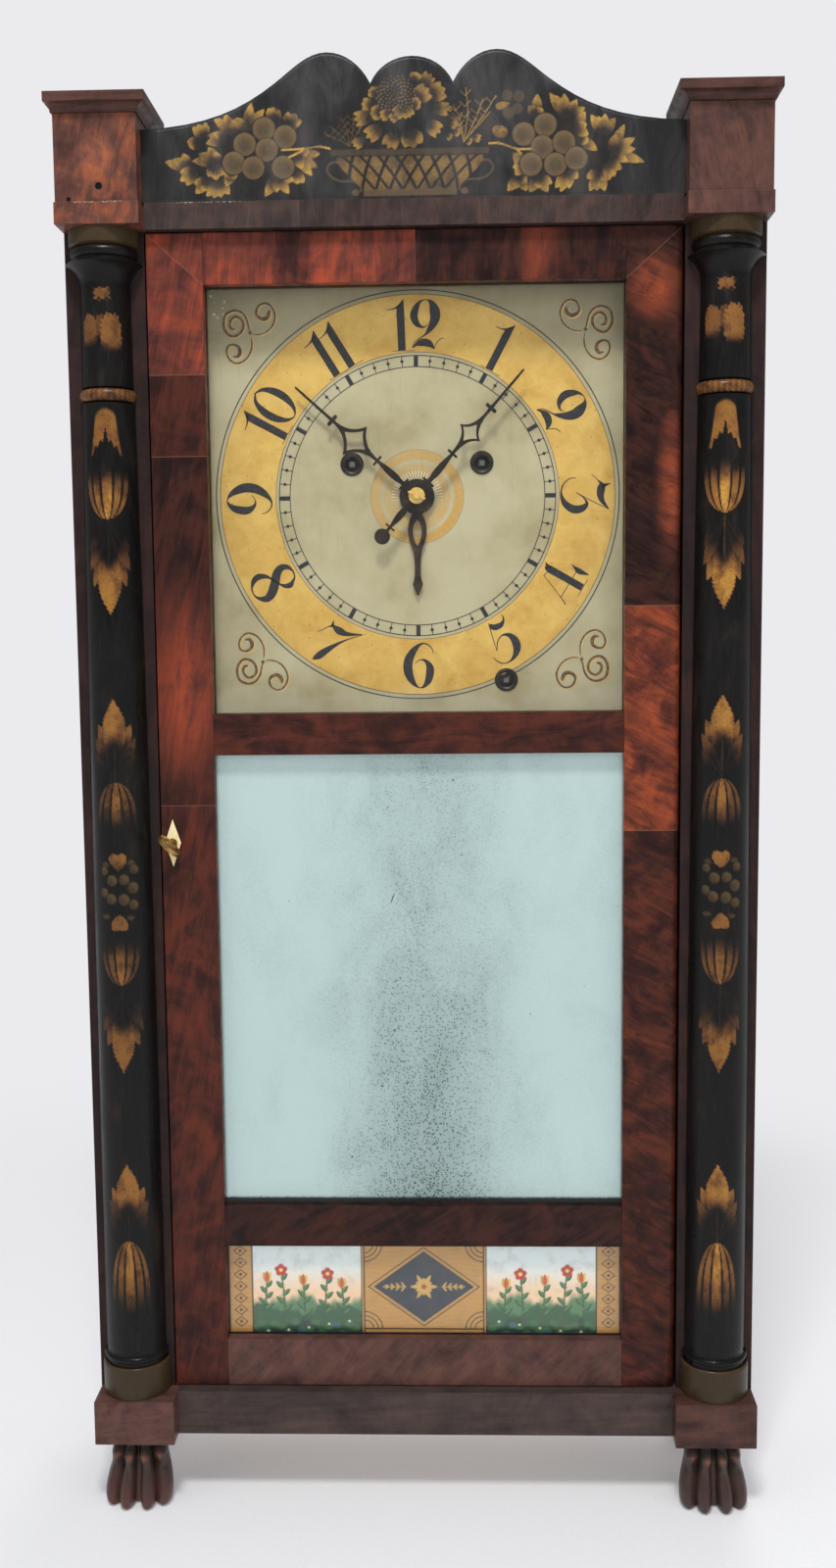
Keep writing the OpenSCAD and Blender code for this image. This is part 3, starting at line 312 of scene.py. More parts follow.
def veneer(name, tones, lie, seed, size=(11.0, 11.0, 60.0), gloss=0.3, grime=0.3, shades=(0.0,), joints=(),
           mitre=None, glow=(), seam=0.45, holes=(), chips=()):
    """Polished veneer. lie turns its grain from upright, in degrees. joints are an axis and the places, in
    mm and rising, where one leaf meets the next; shades say how dark each leaf is. mitre is (x, z, rise) of
    a line beyond which the leaf runs the other way, glow brighter patches, each (x, z, half width, half
    height, share). holes are (x, z, radius) of old nails, chips (z, low x, high x) of a worn edge."""
    f = Finish(name)
    x, _, z = f.axes()
    leaf, line, dark, pale = seed, 0.0, shades[0], 0.0
    for where, before, after in zip(joints[1:], shades, shades[1:]):
        along = x if joints[0] == "x" else z
        past = f.past(along, where)
        leaf = f.plus(leaf, past)
        dark = f.times(past, after - before, dark)
        line = f.most(line, f.span(f.apart(along, where), 0.05, 0.4, 1.0, 0.0))
    if mitre is not None:
        corner_x, corner_z, rise = mitre
        over = f.less(f.less(z, corner_z), f.times(f.less(x, corner_x), rise))
        leaf = f.plus(leaf, f.times(f.past(over, 0.0), 2.0))
        pale = f.span(f.sum("ABSOLUTE", over), 0.15, 0.5, 0.16, 0.0)
    shift = f.join(f.times(leaf, 0.137), f.times(leaf, 0.071), f.times(leaf, 0.213))
    turn = (0.0, math.radians(lie), 0.0)
    figure = f.noise(size, 5.0, 0.62, 1.3, turn, shift)
    flame = f.noise((38.0, 38.0, 46.0), 3.0, 0.6, 1.8, turn, shift)
    streak = f.noise((1.5, 1.5, 34.0), 3.0, 0.6, 0.2, turn, shift)
    ripple = f.noise((26.0, 26.0, 2.6), 2.0, 0.5, 0.6, turn, shift)
    pores = f.noise((0.34, 0.34, 5.5), 2.0, 0.5, 0.0, turn, shift)
    value = f.times(figure, 0.40, f.times(flame, 0.42))
    value = f.times(streak, 0.12, value)
    value = f.times(ripple, 0.06, value)
    for middle_x, middle_z, half, tall, share in glow:
        u = f.sum("DIVIDE", f.less(x, middle_x), half)
        v = f.sum("DIVIDE", f.less(z, middle_z), tall)
        near = f.span(f.times(flame, 1.2, f.far(u, v)), 1.9, 0.7)
        value = f.times(near, share * 0.12, value)
        dark = f.sum("SUBTRACT", dark, f.times(near, share), clamp=True)
    f.colour = f.ramp(value, (0.38, tones[0]), (0.49, tones[1]), (0.62, tones[2]))
    f.coat(dark, f.mix(f.span(value, 0.42, 0.58), (22, 13, 12), (52, 28, 22)))
    f.coat(f.span(pores, 0.36, 0.30, 0.0, 0.5), (28, 15, 13))
    f.coat(f.span(f.noise(30.0, 5.0, 0.65), 0.50, 0.72, 0.0, grime), (36, 26, 26))
    f.coat(f.times(line, seam), (134, 96, 78))
    f.coat(pale, (176, 140, 116))
    marks = f.noise(9.0, 6.0, 0.7)
    bits = f.noise((1.3, 4.0, 1.3), 4.0, 0.7)
    for edge, low, high in chips:
        near = f.span(f.apart(z, edge), 0.5, 1.8, 1.0, 0.0)
        along = f.times(f.span(x, low - 8.0, low + 8.0), f.span(x, high + 8.0, high - 8.0))
        worn = f.times(f.times(near, along), 0.30, f.times(marks, 0.45))
        f.coat(f.span(f.times(bits, 0.7, worn), 0.86, 0.93, 0.0, 0.6), (168, 150, 138))
    for nail_x, nail_z, radius in holes:
        out = f.times(f.less(bits, 0.5), 1.2, f.far(f.less(x, nail_x), f.less(z, nail_z)))
        f.coat(f.span(out, radius + 2.6, radius + 0.2, 0.0, 0.35), (58, 48, 48))
        f.coat(f.span(out, radius + 0.35, radius - 0.35), (12, 9, 9))
    relief = f.bump(f.plus(f.times(pores, 0.5), f.times(marks, 0.8)), 0.06)
    return f.surface(f.span(marks, 0.35, 0.7, gloss, gloss + 0.22), 0.0, relief, 0.16, Coat_Weight=0.02,
                     Coat_Roughness=0.1)


def bare_wood(name, tones, lie, size, rough=0.75, age=0.4, seams=(), arbor=None):
    """Bare softwood or oak: straight grain, darker late wood, a few stains. seams are the places in x where
    boards meet; arbor is (x, z) of the steel that runs through the piece."""
    f = Finish(name)
    x, _, z = f.axes()
    turn = (0.0, math.radians(lie), 0.0)
    shift, line, steel = None, 0.0, 0.0
    if seams:
        board = 0.0
        for where in seams:
            board = f.plus(board, f.past(x, where))
            line = f.most(line, f.span(f.apart(x, where), 0.3, 0.9, 0.85, 0.0))
        shift = f.join(f.times(board, 0.37), 0.0, f.times(board, 0.83))
    rings = f.noise(size, 2.0, 0.4, 0.3, turn, shift)
    late = f.span(f.sum("FRACT", f.times(rings, 13.0)), 0.45, 1.0)
    fibre = f.noise((0.5, 0.5, 22.0), 3.0, 0.6, 0.0, turn)
    f.colour = f.ramp(late, (0.0, tones[2]), (0.7, tones[1]), (1.0, tones[0]))
    f.coat(f.span(fibre, 0.3, 0.7, 0.0, 0.3), tones[0])
    f.coat(f.span(f.noise(60.0, 5.0, 0.6), 0.45, 0.75, 0.0, age), (88, 66, 46))
    f.coat(line, (30, 22, 16))
    relief = f.bump(f.plus(f.times(fibre, 0.6), f.times(late, 0.3)), 0.08)
    if arbor is not None:
        out = f.far(f.less(x, arbor[0]), f.less(z, arbor[1]))
        steel = f.sum("LESS_THAN", out, ARBOR_R)
        f.coat(steel, (150, 148, 142))
        rough = f.span(steel, 0.0, 1.0, rough, 0.32)
    return f.surface(rough, steel, relief, 0.3)


# Dark, middle and bright tone of each wood.
RED = ((66, 36, 32), (106, 52, 41), (152, 66, 42))
BROWN = ((46, 31, 29), (72, 42, 36), (98, 54, 42))
PURPLE = ((62, 43, 41), (88, 60, 54), (106, 72, 62))
FLAME = ((60, 31, 26), (108, 50, 34), (164, 76, 42))
ORANGE = ((72, 48, 44), (104, 66, 56), (158, 88, 58))
SHADE = ((30, 22, 22), (42, 29, 28), (58, 36, 32))
GREY = ((54, 45, 44), (68, 57, 54), (84, 66, 60))
PINE = ((126, 94, 60), (150, 117, 78), (168, 135, 94))
OAK = ((98, 66, 38), (136, 98, 60), (158, 118, 76))

finishes = {
    "door_stile_left": veneer("veneer_stile_left", RED, 12.0, 1.0, shades=(0.72, 0.92, 0.84, 0.05),
                              joints=("z", 470.0, 692.5, 743.0), mitre=(-MITRE_X, MITRE_Z, -MITRE_RISE),
                              glow=((-150.0, 542.0, 30.0, 66.0, 0.75),)),
    "door_stile_right": veneer("veneer_stile_right", FLAME, -62.0, 4.0, (9.0, 9.0, 30.0),
                               shades=(0.78, 0.22, 0.96), joints=("z", 452.0, 596.0),
                               mitre=(MITRE_X, MITRE_Z, MITRE_RISE),
                               glow=((160.0, 672.0, 9.0, 46.0, 0.7), (150.0, 792.0, 18.0, 22.0, 0.6))),
    "door_rail_top": veneer("veneer_rail_top", RED, 4.0, 7.0, shades=(0.02, 0.92), joints=("x", 1.0),
                            seam=0.2,
                            glow=((-76.0, 815.0, 13.0, 70.0, -0.5), (78.0, 815.0, 14.0, 60.0, 0.42))),
    "door_rail_middle": veneer("veneer_rail_middle", RED, 86.0, 11.0, (12.0, 12.0, 40.0), shades=(0.78,)),
    "door_rail_lower": veneer("veneer_rail_lower", BROWN, 60.0, 13.0, (14.0, 14.0, 50.0), shades=(0.82,)),
    "door_rail_bottom": veneer("veneer_rail_bottom", PURPLE, 42.0, 17.0, (14.0, 14.0, 46.0), shades=(0.05,)),
    "base_block_left": veneer("veneer_base_block_left", PURPLE, 80.0, 37.0, (9.0, 9.0, 40.0)),
    "base_block_right": veneer("veneer_base_block_right", PURPLE, 84.0, 41.0, (9.0, 9.0, 40.0),
                               shades=(0.35,)),
    "base_rail": veneer("veneer_base_rail", GREY, 88.0, 43.0, (9.0, 9.0, 90.0), 0.42, 0.4),
    "top_block_left": veneer("veneer_top_block_left", ORANGE, 14.0, 47.0, (12.0, 12.0, 34.0),
                             shades=(0.22, 0.28), joints=("z", CAPPING),
                             glow=((-192.0, 868.0, 10.0, 16.0, 0.6),),
                             holes=((-190.9, 853.0, 2.2), (-209.6, 845.4, 1.3)),
                             chips=((CAPPING, -212.0, -170.0),)),
    "top_block_right": veneer("veneer_top_block_right", PURPLE, -14.0, 53.0, (13.0, 13.0, 40.0),
                              shades=(0.2, 0.3), joints=("z", CAPPING)),
    "top_rail": veneer("veneer_top_rail", GREY, 5.0, 59.0, (8.0, 8.0, 40.0), shades=(0.22, 0.36, 0.28, 0.5),
                       joints=("x", -70.0, 40.0, 130.0), seam=0.08, chips=((846.5, -152.0, -100.0),)),
    "cap_left": veneer("stained_cap_left", PURPLE, 88.0, 61.0, (6.0, 6.0, 50.0), shades=(0.42,)),
    "cap_right": veneer("stained_cap_right", PURPLE, 91.0, 67.0, (6.0, 6.0, 50.0), shades=(0.5,)),
    "glazing_beads": veneer("stained_beads", BROWN, 90.0, 71.0, (4.0, 4.0, 60.0), 0.5, 0.6, (0.3,)),
    "rear_feet": veneer("stained_feet", BROWN, 0.0, 73.0, (4.0, 4.0, 40.0), 0.45, 0.6, (0.2,)),
    "backboard": bare_wood("backboard_pine", PINE, 0.0, (34.0, 34.0, 520.0), 0.8, 0.55, (-96.0, 34.0, 128.0)),
    "case_top_board": bare_wood("top_board_pine", PINE, 90.0, (16.0, 16.0, 300.0), 0.8, 0.6),
    "case_bottom_board": bare_wood("bottom_board_pine", PINE, 90.0, (16.0, 16.0, 300.0), 0.8, 0.6),
    "dial_rails": bare_wood("rail_pine", PINE, 90.0, (9.0, 9.0, 200.0)),
    "front_plate": bare_wood("plate_oak_front", OAK, 0.0, (12.0, 12.0, 160.0), 0.6, 0.3),
    "back_plate": bare_wood("plate_oak_back", OAK, 0.0, (12.0, 12.0, 160.0), 0.6, 0.3),
    "alarm_drum": bare_wood("alarm_drum_wood", PINE, 90.0, (3.0, 60.0, 3.0), 0.6, 0.2, (), ARBORS["alarm"]),
}
for hand, stile_seed, side_seed, lean in (("left", 19.0, 29.0, 1.0), ("right", 23.0, 31.0, -1.0)):
    finishes["front_stile_" + hand] = veneer("stained_stile_" + hand, SHADE, 3.0 * lean, stile_seed,
                                             (7.0, 7.0, 120.0), 0.4, 0.7)
    finishes["case_side_" + hand] = veneer("stained_side_" + hand, BROWN, 2.0 * lean, side_seed,
                                           (16.0, 16.0, 150.0), 0.42, 0.5, (0.1,))
    finishes["winding_drum_" + hand] = bare_wood("drum_wood_" + hand, PINE, 90.0, (3.0, 60.0, 3.0),
                                                 0.6, 0.2, (), ARBORS[hand])
    finishes["pulley_" + hand] = bare_wood("pulley_wood_" + hand, OAK, 90.0, (3.0, 60.0, 3.0), 0.55, 0.2)

# Finishes of paint, metal, glass and carving


def black_ground(f, seed):
    """Lays black lacquer, rubbed brown in clouds, with fine cracks along the grain. Gives the shift of its
    noise, its roughness and its relief."""
    shift = [seed * share for share in (0.31, 0.17, 0.23)]
    wear = f.noise((24.0, 24.0, 60.0), 6.0, 0.65, 0.4, shift=shift)
    grain = f.noise((0.7, 0.7, 18.0), 3.0, 0.6, shift=shift)
    f.colour = f.ramp(wear, (0.40, (13, 13, 13)), (0.58, (19, 18, 17)), (0.74, (42, 33, 28)))
    f.coat(f.span(grain, 0.55, 0.7, 0.0, 0.25), (58, 48, 42))
    rough = f.span(wear, 0.35, 0.7, 0.24, 0.46)
    return shift, rough, f.bump(f.plus(f.times(grain, 0.6), wear), 0.08)


def lacquer(name, seed, gloss=0.3):
    """Wood stained black and polished."""
    f = Finish(name)
    _, rough, relief = black_ground(f, seed)
    return f.surface(rough, 0.0, relief, gloss)


def carved(name, tint):
    """Carved and stained wood, green-black above and red-brown below, with painted shade in the grooves
    between the toes, and rubbed through on the knuckles: the piece's own attributes for the groove shade and
    the knuckles say where. tint is the lower colour."""
    f = Finish(name)
    _, _, z = f.axes()
    fibre = f.noise((1.1, 1.1, 12.0), 4.0, 0.6, 0.5)
    patch = f.noise((11.0, 11.0, 14.0), 5.0, 0.6)
    height = f.times(patch, 0.5, f.times(z, 1.0 / PAW_TOP))
    f.colour = f.ramp(height, (0.30, tint), (0.75, (62, 44, 38)), (1.10, (36, 35, 31)))
    f.coat(f.times(f.attribute("knuckle"), 0.6), (136, 78, 58))
    f.coat(f.span(fibre, 0.52, 0.7, 0.0, 0.22), (108, 72, 54))
    # Painted shade in the creases between the toes.
    f.coat(f.times(f.attribute("groove"), 0.9), (17, 14, 13))
    relief = f.bump(f.plus(f.times(fibre, 0.6), f.times(patch, 1.5)), 0.2)
    return f.surface(f.span(patch, 0.3, 0.7, 0.28, 0.45), 0.0, relief, 0.45)


def metal(name, bright, dull, rough, tarnish, size, share=1.0):
    """Old metal: bright where it is rubbed, dull in clouds, with fine marks."""
    f = Finish(name)
    cloud = f.noise(size, 6.0, 0.65, 0.3)
    fine = f.noise(0.6, 4.0, 0.6)
    f.colour = f.mix(f.span(cloud, 0.38, 0.66, 0.0, tarnish), bright, dull)
    f.coat(f.span(fine, 0.5, 0.75, 0.0, 0.35), dull)
    return f.surface(f.span(cloud, 0.35, 0.7, rough, rough + 0.3), share, f.bump(f.plus(fine, cloud), 0.03))


def iron(name, low, high, rough, depth, size):
    """Blackened or rusted iron, with a rough cast skin where depth is large."""
    f = Finish(name)
    skin = f.noise(size, 7.0, 0.7)
    rust = f.noise(size * 6.0, 4.0, 0.6)
    f.colour = f.ramp(f.times(rust, 0.6, f.times(skin, 0.4)), (0.42, low), (0.62, high))
    return f.surface(f.span(skin, 0.3, 0.7, rough, rough + 0.2), 0.55, f.bump(skin, depth))


def hard_bone(name):
    """Yellowed bone with fine lengthwise lines."""
    f = Finish(name)
    line = f.noise((0.5, 0.5, 7.0), 3.0, 0.6)
    f.colour = f.ramp(f.noise(6.0, 4.0, 0.6), (0.35, (252, 238, 186)), (0.65, (238, 212, 150)))
    f.coat(f.span(line, 0.55, 0.7, 0.0, 0.4), (140, 112, 70))
    return f.surface(0.42, 0.0, f.bump(line, 0.04))


def twisted_cord(name):
    """Gut and hemp cord: slanting strands with fuzz, and painted shade in the grooves between the strands."""
    f = Finish(name)
    x, y, z = f.axes()
    twist = f.sum("SINE", f.times(f.plus(f.plus(x, y), z), 2.6))
    fuzz = f.noise(0.5, 3.0, 0.6)
    # Painted shade: the colour darkens in the low parts of the same strand waves that make the relief.
    f.colour = f.mix(f.span(twist, -0.8, 0.8), (92, 72, 48), (168, 142, 100))
    f.coat(f.span(fuzz, 0.5, 0.8, 0.0, 0.4), (120, 100, 74))
    return f.surface(0.85, 0.0, f.bump(f.plus(twist, fuzz), 0.25))


def window_glass(name):
    """Thin old glass: clear, with a faint wavy gloss of four hundredths that grows towards a grazing look
    with the fifth power, the same from both of its sides."""
    f = Finish(name)
    clear = f.node("BsdfTransparent")
    clear.inputs["Color"].default_value = (0.985, 0.99, 0.985, 1.0)
    gloss = f.node("BsdfGlossy")
    gloss.inputs["Color"].default_value = (0.9, 0.9, 0.9, 1.0)
    gloss.inputs["Roughness"].default_value = 0.03
    f.feed(gloss.inputs["Normal"], f.bump(f.noise((60.0, 60.0, 90.0), 2.0, 0.5), 0.6))
    edge = f.node("LayerWeight")
    edge.inputs["Blend"].default_value = 0.5
    share = f.times(f.sum("POWER", edge.outputs["Facing"], 5.0), 0.96, 0.04)
    return f.blended(share, clear.outputs[0], gloss.outputs[0])


def silvered(name):
    """Old looking glass: a pale green colour that is mostly a painted reflection of a pale room, with little
    real gloss, peppered with grey, most of all down its middle and near its foot, where a dark line shows and
    a few short scratches run upright. Its back is brown paper."""
    f = Finish(name)
    x, y, z = f.axes()
    cloud = f.noise((34.0, 34.0, 60.0), 5.0, 0.62, 0.5)
    grain = f.noise(1.5, 4.0, 0.7)
    middle = f.span(f.apart(x, 4.0), 92.0, 0.0)
    low = f.span(z, 430.0, 225.0)
    reach = f.times(middle, f.times(low, 0.40, 0.42))
    reach = f.times(f.span(cloud, 0.38, 0.70), 0.26, f.plus(reach, 0.22))
    speck = f.span(f.less(f.times(reach, 0.36), f.cells(1.7)), 0.0, 0.12, 0.0, 0.85)
    chosen = f.span(f.noise(15.0, 1.0, 0.5), 0.50, 0.56)
    spot = f.span(f.less(f.times(reach, 0.05, 0.045), f.cells(13.0)), 0.0, 0.03, 0.0, 0.8)
    spot = f.times(spot, chosen)
    dash = f.cells((13.0, 13.0, 120.0), (0.0, 0.35, 0.0))
    pick = f.span(f.noise((30.0, 30.0, 60.0), 2.0, 0.5), 0.50, 0.53)
    scratch = f.times(f.span(dash, 0.04, 0.025, 0.0, 0.85), pick)
    mist = f.span(f.times(grain, 0.8, reach), 0.5, 2.0, 0.0, 0.85)
    foot = f.span(f.times(grain, 2.0, z), 204.4, 206.4, 0.95, 0.0)
    pepper, dark = f.most(speck, spot), f.most(foot, scratch)
    worn = f.most(pepper, dark)
    # Painted reflection: the pale green base stands for the pale room the glass reflects; it turns greyer
    # where the mist reaches.
    f.colour = f.mix(mist, (186, 208, 205), (122, 142, 140))
    f.coat(pepper, (62, 70, 70))
    f.coat(dark, (16, 20, 20))
    behind = f.past(y, MIRROR_MIDDLE)
    paper = f.times(grain, 0.5, f.times(cloud, 0.5))
    f.coat(behind, f.ramp(paper, (0.40, (96, 80, 58)), (0.62, (136, 116, 86))))
    rough = f.times(mist, 0.34, f.span(worn, 0.0, 1.0, 0.10, 0.5))
    rough = f.span(behind, 0.0, 1.0, rough, 0.85)
    shine = f.span(f.most(worn, behind), 0.0, 1.0, 0.3, 0.0)
    return f.surface(rough, shine, f.bump(cloud, 0.25), 0.3)


def old_dial(name):
    """Cream paint on the dial board, darkened at its top by a painted shadow of the door's top rail, with two
    washes of gold and a comb of pale rays round the arbor, flecks, and a few chips near the corner."""
    f = Finish(name)
    x, _, z = f.axes()
    up = f.less(z, DIAL_Z)
    out = f.far(x, up)
    cloud = f.noise(45.0, 6.0, 0.6)
    fine = f.noise(2.2, 4.0, 0.7)
    f.colour = f.ramp(cloud, (0.35, (193, 184, 150)), (0.5, (184, 174, 138)), (0.66, (168, 156, 118)))
    # Painted shadow: the door's top rail shading the top of the dial.
    f.coat(f.span(z, 756.0, 778.0, 0.0, 0.34), (122, 112, 84))
    worn = f.span(f.plus(fine, cloud), 0.75, 1.15, 1.0, 0.45)
    for inner, inner_full, outer, outer_full, share, gold in ((23.2, 25.0, 31.0, 29.0, 1.0, (200, 152, 66)),
                                                              (12.0, 14.0, 22.6, 20.6, 0.8, (202, 160, 84))):
        wash = f.times(f.span(out, inner, inner_full), f.span(out, outer, outer_full))
        f.coat(f.times(f.times(wash, worn), share), gold)
    f.coat(f.span(f.apart(out, 30.2), 0.2, 0.6, 0.45, 0.0), (160, 118, 58))
    rays = f.sum("ABSOLUTE", f.sum("SINE", f.times(f.sum("ARCTAN2", up, x), 25.0)))
    comb = f.times(f.span(rays, 0.55, 0.3), f.times(f.span(out, 17.2, 16.4), f.span(up, -6.0, 3.0)))
    f.coat(f.times(comb, 0.95), (236, 228, 200))
    f.coat(f.span(f.times(fine, 0.12, f.cells(11.0)), 0.105, 0.085, 0.0, 0.5), (120, 100, 64))
    corner = f.times(f.span(x, -118.0, -128.0), f.span(z, 770.0, 792.0))
    chip = f.times(f.span(f.times(fine, 0.3, f.cells(4.2)), 0.40, 0.36), corner)
    f.coat(f.times(chip, 0.8), (236, 232, 214))
    hair = f.span(f.noise((3.0, 3.0, 60.0), 2.0, 0.5, 0.4), 0.66, 0.70, 0.0, 0.14)
    f.coat(hair, (140, 122, 88))
    relief = f.bump(f.less(fine, f.plus(hair, chip)), 0.06)
    return f.surface(f.span(cloud, 0.3, 0.7, 0.42, 0.58), 0.0, relief, 0.3)


finishes.update({
    "column_left": lacquer("column_black_left", 1.0),
    "column_right": lacquer("column_black_right", 2.0),
    "crest_splat": lacquer("splat_black", 3.0, 0.8),
    "bell": metal("bell_bronze", (196, 160, 96), (120, 86, 50), 0.3, 0.6, 12.0),
    "hinge_pins": metal("pin_brass", (176, 138, 78), (84, 60, 40), 0.38, 0.7, 3.0),
    "lock_case": metal("lock_brass", (190, 152, 88), (110, 82, 52), 0.36, 0.6, 8.0),
    "lock_bolt": metal("bolt_brass", (200, 164, 98), (120, 90, 56), 0.3, 0.5, 4.0),
    "key": metal("key_brass", (196, 160, 96), (96, 70, 44), 0.34, 0.6, 3.0),
    "centre_arbor": metal("arbor_brass", (246, 208, 118), (176, 132, 70), 0.28, 0.35, 3.0, 0.35),
    "escape_wheel": metal("wheel_brass", (206, 168, 98), (130, 98, 60), 0.3, 0.5, 5.0),
    "pendulum_bob": metal("bob_brass", (204, 166, 96), (118, 86, 52), 0.3, 0.6, 9.0),
    "pendulum_rod": metal("rod_steel", (150, 148, 146), (88, 76, 68), 0.35, 0.5, 3.0),
    "verge": metal("verge_steel", (160, 158, 156), (92, 82, 74), 0.32, 0.5, 3.0),
    "strike_hammer": metal("hammer_steel", (150, 148, 146), (84, 74, 66), 0.36, 0.6, 3.0),
    "minute_hand": iron("hand_iron_minute", (24, 20, 15), (58, 48, 36), 0.34, 0.04, 2.0),
    "hour_hand": iron("hand_iron_hour", (24, 20, 15), (58, 48, 36), 0.34, 0.04, 2.0),
    "alarm_hand": iron("hand_iron_alarm", (24, 21, 20), (88, 66, 44), 0.36, 0.05, 2.0),
    "weight_left": iron("weight_iron_left", (34, 30, 29), (74, 50, 40), 0.6, 0.5, 5.0),
    "weight_right": iron("weight_iron_right", (34, 30, 29), (74, 50, 40), 0.6, 0.5, 5.0),
    "escutcheon": hard_bone("escutcheon_bone"),
    "drum_cords": twisted_cord("cord_drums"),
    "dial_glass": window_glass("dial_glass_clear"),
    "tablet_glass": window_glass("tablet_glass_clear"),
    "mirror_glass": silvered("looking_glass"),
    "dial_board": old_dial("dial_cream"),
})

# Nodes whose edges are rubbed round, with the width of the round in millimetres.
BOARD_EDGE, FINE_EDGE = 0.45, 0.15
BOARDS = ("backboard", "case_side_left", "case_side_right", "case_top_board", "case_bottom_board",
          "front_stile_left", "front_stile_right", "base_block_left", "base_block_right", "base_rail",
          "top_block_left", "top_block_right", "cap_left", "cap_right", "top_rail", "dial_rails",
          "front_plate", "back_plate", "door_stile_left", "door_stile_right", "door_rail_top",
          "door_rail_middle", "door_rail_lower", "door_rail_bottom", "lock_case", "weight_left",
          "weight_right")
FINE = ("escutcheon", "key", "minute_hand", "hour_hand", "alarm_hand")


def dress(node, material):
    """A CAD node's own material; every face of it takes the one slot."""
    piece = bpy.data.objects[node]
    if piece.data.materials:
        piece.data.materials[0] = material
    else:
        piece.data.materials.append(material)


def soften(node, width):
    """Edges rubbed round: equal corners of the mesh are merged, then every sharp edge gets a small round."""
    piece = bpy.data.objects[node]
    weld = piece.modifiers.new("weld", "WELD")
    weld.merge_threshold = 0.00002
    edge = piece.modifiers.new("edge", "BEVEL")
    edge.width = width * MM
    edge.segments = 2
    edge.limit_method = "ANGLE"
    edge.angle_limit = math.radians(40.0)
    edge.use_clamp_overlap = True


for node_name, finish in finishes.items():
    dress(node_name, finish)
for edge_width, softened in ((BOARD_EDGE, BOARDS), (FINE_EDGE, FINE)):
    for node_name in softened:
        soften(node_name, edge_width)

# Meshes


def put(name, body, parts, material, shades=None, sharp=38.0):
    """One piece from grids of points in mm, each (n, m, 3). A part is a grid, or (grid, along, across) with
    True where the grid closes on itself. Normals are along x across. shades are arrays per grid, by name."""
    verts = []
    faces = []
    first = 0
    for part in parts:
        grid, along, across = part if isinstance(part, tuple) else (part, False, False)
        n, m = grid.shape[:2]
        i = np.arange(n if along else n - 1)[:, None]
        j = np.arange(m if across else m - 1)[None, :]
        here, ahead, next_j = i * m, (i + 1) % n * m, (j + 1) % m
        quad = np.stack([here + j, ahead + j, ahead + next_j, here + next_j], -1)
        faces.append(quad.reshape(-1, 4) + first)
        verts.append(grid.reshape(-1, 3))
        first += n * m
    verts = np.concatenate(verts) * MM
    faces = np.concatenate(faces).astype(np.int32)
    mesh = bpy.data.meshes.new(name)
    mesh.vertices.add(len(verts))
    mesh.vertices.foreach_set("co", verts.astype(np.float32).ravel())
    mesh.loops.add(faces.size)
    mesh.loops.foreach_set("vertex_index", faces.ravel())
    mesh.polygons.add(len(faces))
    mesh.polygons.foreach_set("loop_start", np.arange(0, faces.size, 4, dtype=np.int32))
    mesh.update(calc_edges=True)
    for key, values in (shades or {}).items():
        held = mesh.attributes.new(key, "FLOAT", "POINT")
        held.data.foreach_set("value", np.concatenate([v.ravel() for v in values]).astype(np.float32))
    work = bmesh.new()
    work.from_mesh(mesh)
    bmesh.ops.remove_doubles(work, verts=work.verts, dist=2e-6)
    work.to_mesh(mesh)
    work.free()
    mesh.shade_smooth()
    mesh.set_sharp_from_angle(angle=math.radians(sharp))
    mesh.materials.append(material)
    piece = bpy.data.objects.new(name, mesh)
    bpy.context.scene.collection.objects.link(piece)
    if body is not None:
        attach(piece, body)
    return piece


def smooth(points, steps=8):
    """A Catmull-Rom curve through rows of numbers: each stretch is the cubic with the slopes of its
    neighbours."""
    p = np.array(points, float)
    p = np.concatenate([[2 * p[0] - p[1]], p, [2 * p[-1] - p[-2]]])
    t = np.linspace(0.0, 1.0, steps, endpoint=False)[None, :, None]
    a, b, c, d = p[:-3, None], p[1:-2, None], p[2:-1, None], p[3:, None]
    square, cube = 2 * a - 5 * b + 4 * c - d, 3 * b - a - 3 * c + d
    curve = 0.5 * (2 * b + (c - a) * t + square * t ** 2 + cube * t ** 3)
    return np.concatenate([curve.reshape(-1, p.shape[1]), p[-2:-1]])


def stroke(points, front, steps=8):
    """A painted line in the plane of the dial: rows of x, z and half width, swept into a flat band from just
    behind the dial's face out to front, with both ends closed."""
    p = smooth(points, steps) if len(points) > 2 else np.array(points, float)
    way = np.gradient(p[:, :2], axis=0)
    way /= np.maximum(np.linalg.norm(way, axis=1), 1e-9)[:, None]
    side = np.stack([-way[:, 1], way[:, 0]], 1) * np.maximum(p[:, 2:3], 0.08)
    left, right = p[:, :2] - side, p[:, :2] + side
    rows = [(left, UNDER_PAINT), (left, front), (right, front), (right, UNDER_PAINT)]
    grid = np.stack([np.stack([q[:, 0], np.full(len(q), y), q[:, 1]], 1) for q, y in rows], 1)
    start = np.stack([grid[0, [0, 1]], grid[0, [3, 2]]])
    end = np.stack([grid[-1, [3, 2]], grid[-1, [0, 1]]])
    return [grid, start, end]


def ring(inner, outer, front):
    """A flat band round the arbor: circles of the inner and outer radius, from just behind the dial's face
    out to front."""
    turn = np.linspace(0.0, CIRCLE, 180, endpoint=False)
    rows = [(inner, UNDER_PAINT), (inner, front), (outer, front), (outer, UNDER_PAINT)]
    grid = np.stack([np.stack([r * np.cos(turn), y + 0.0 * turn, DIAL_Z - r * np.sin(turn)], 1)
                     for r, y in rows])
    return (grid, False, True)


# Weight cords


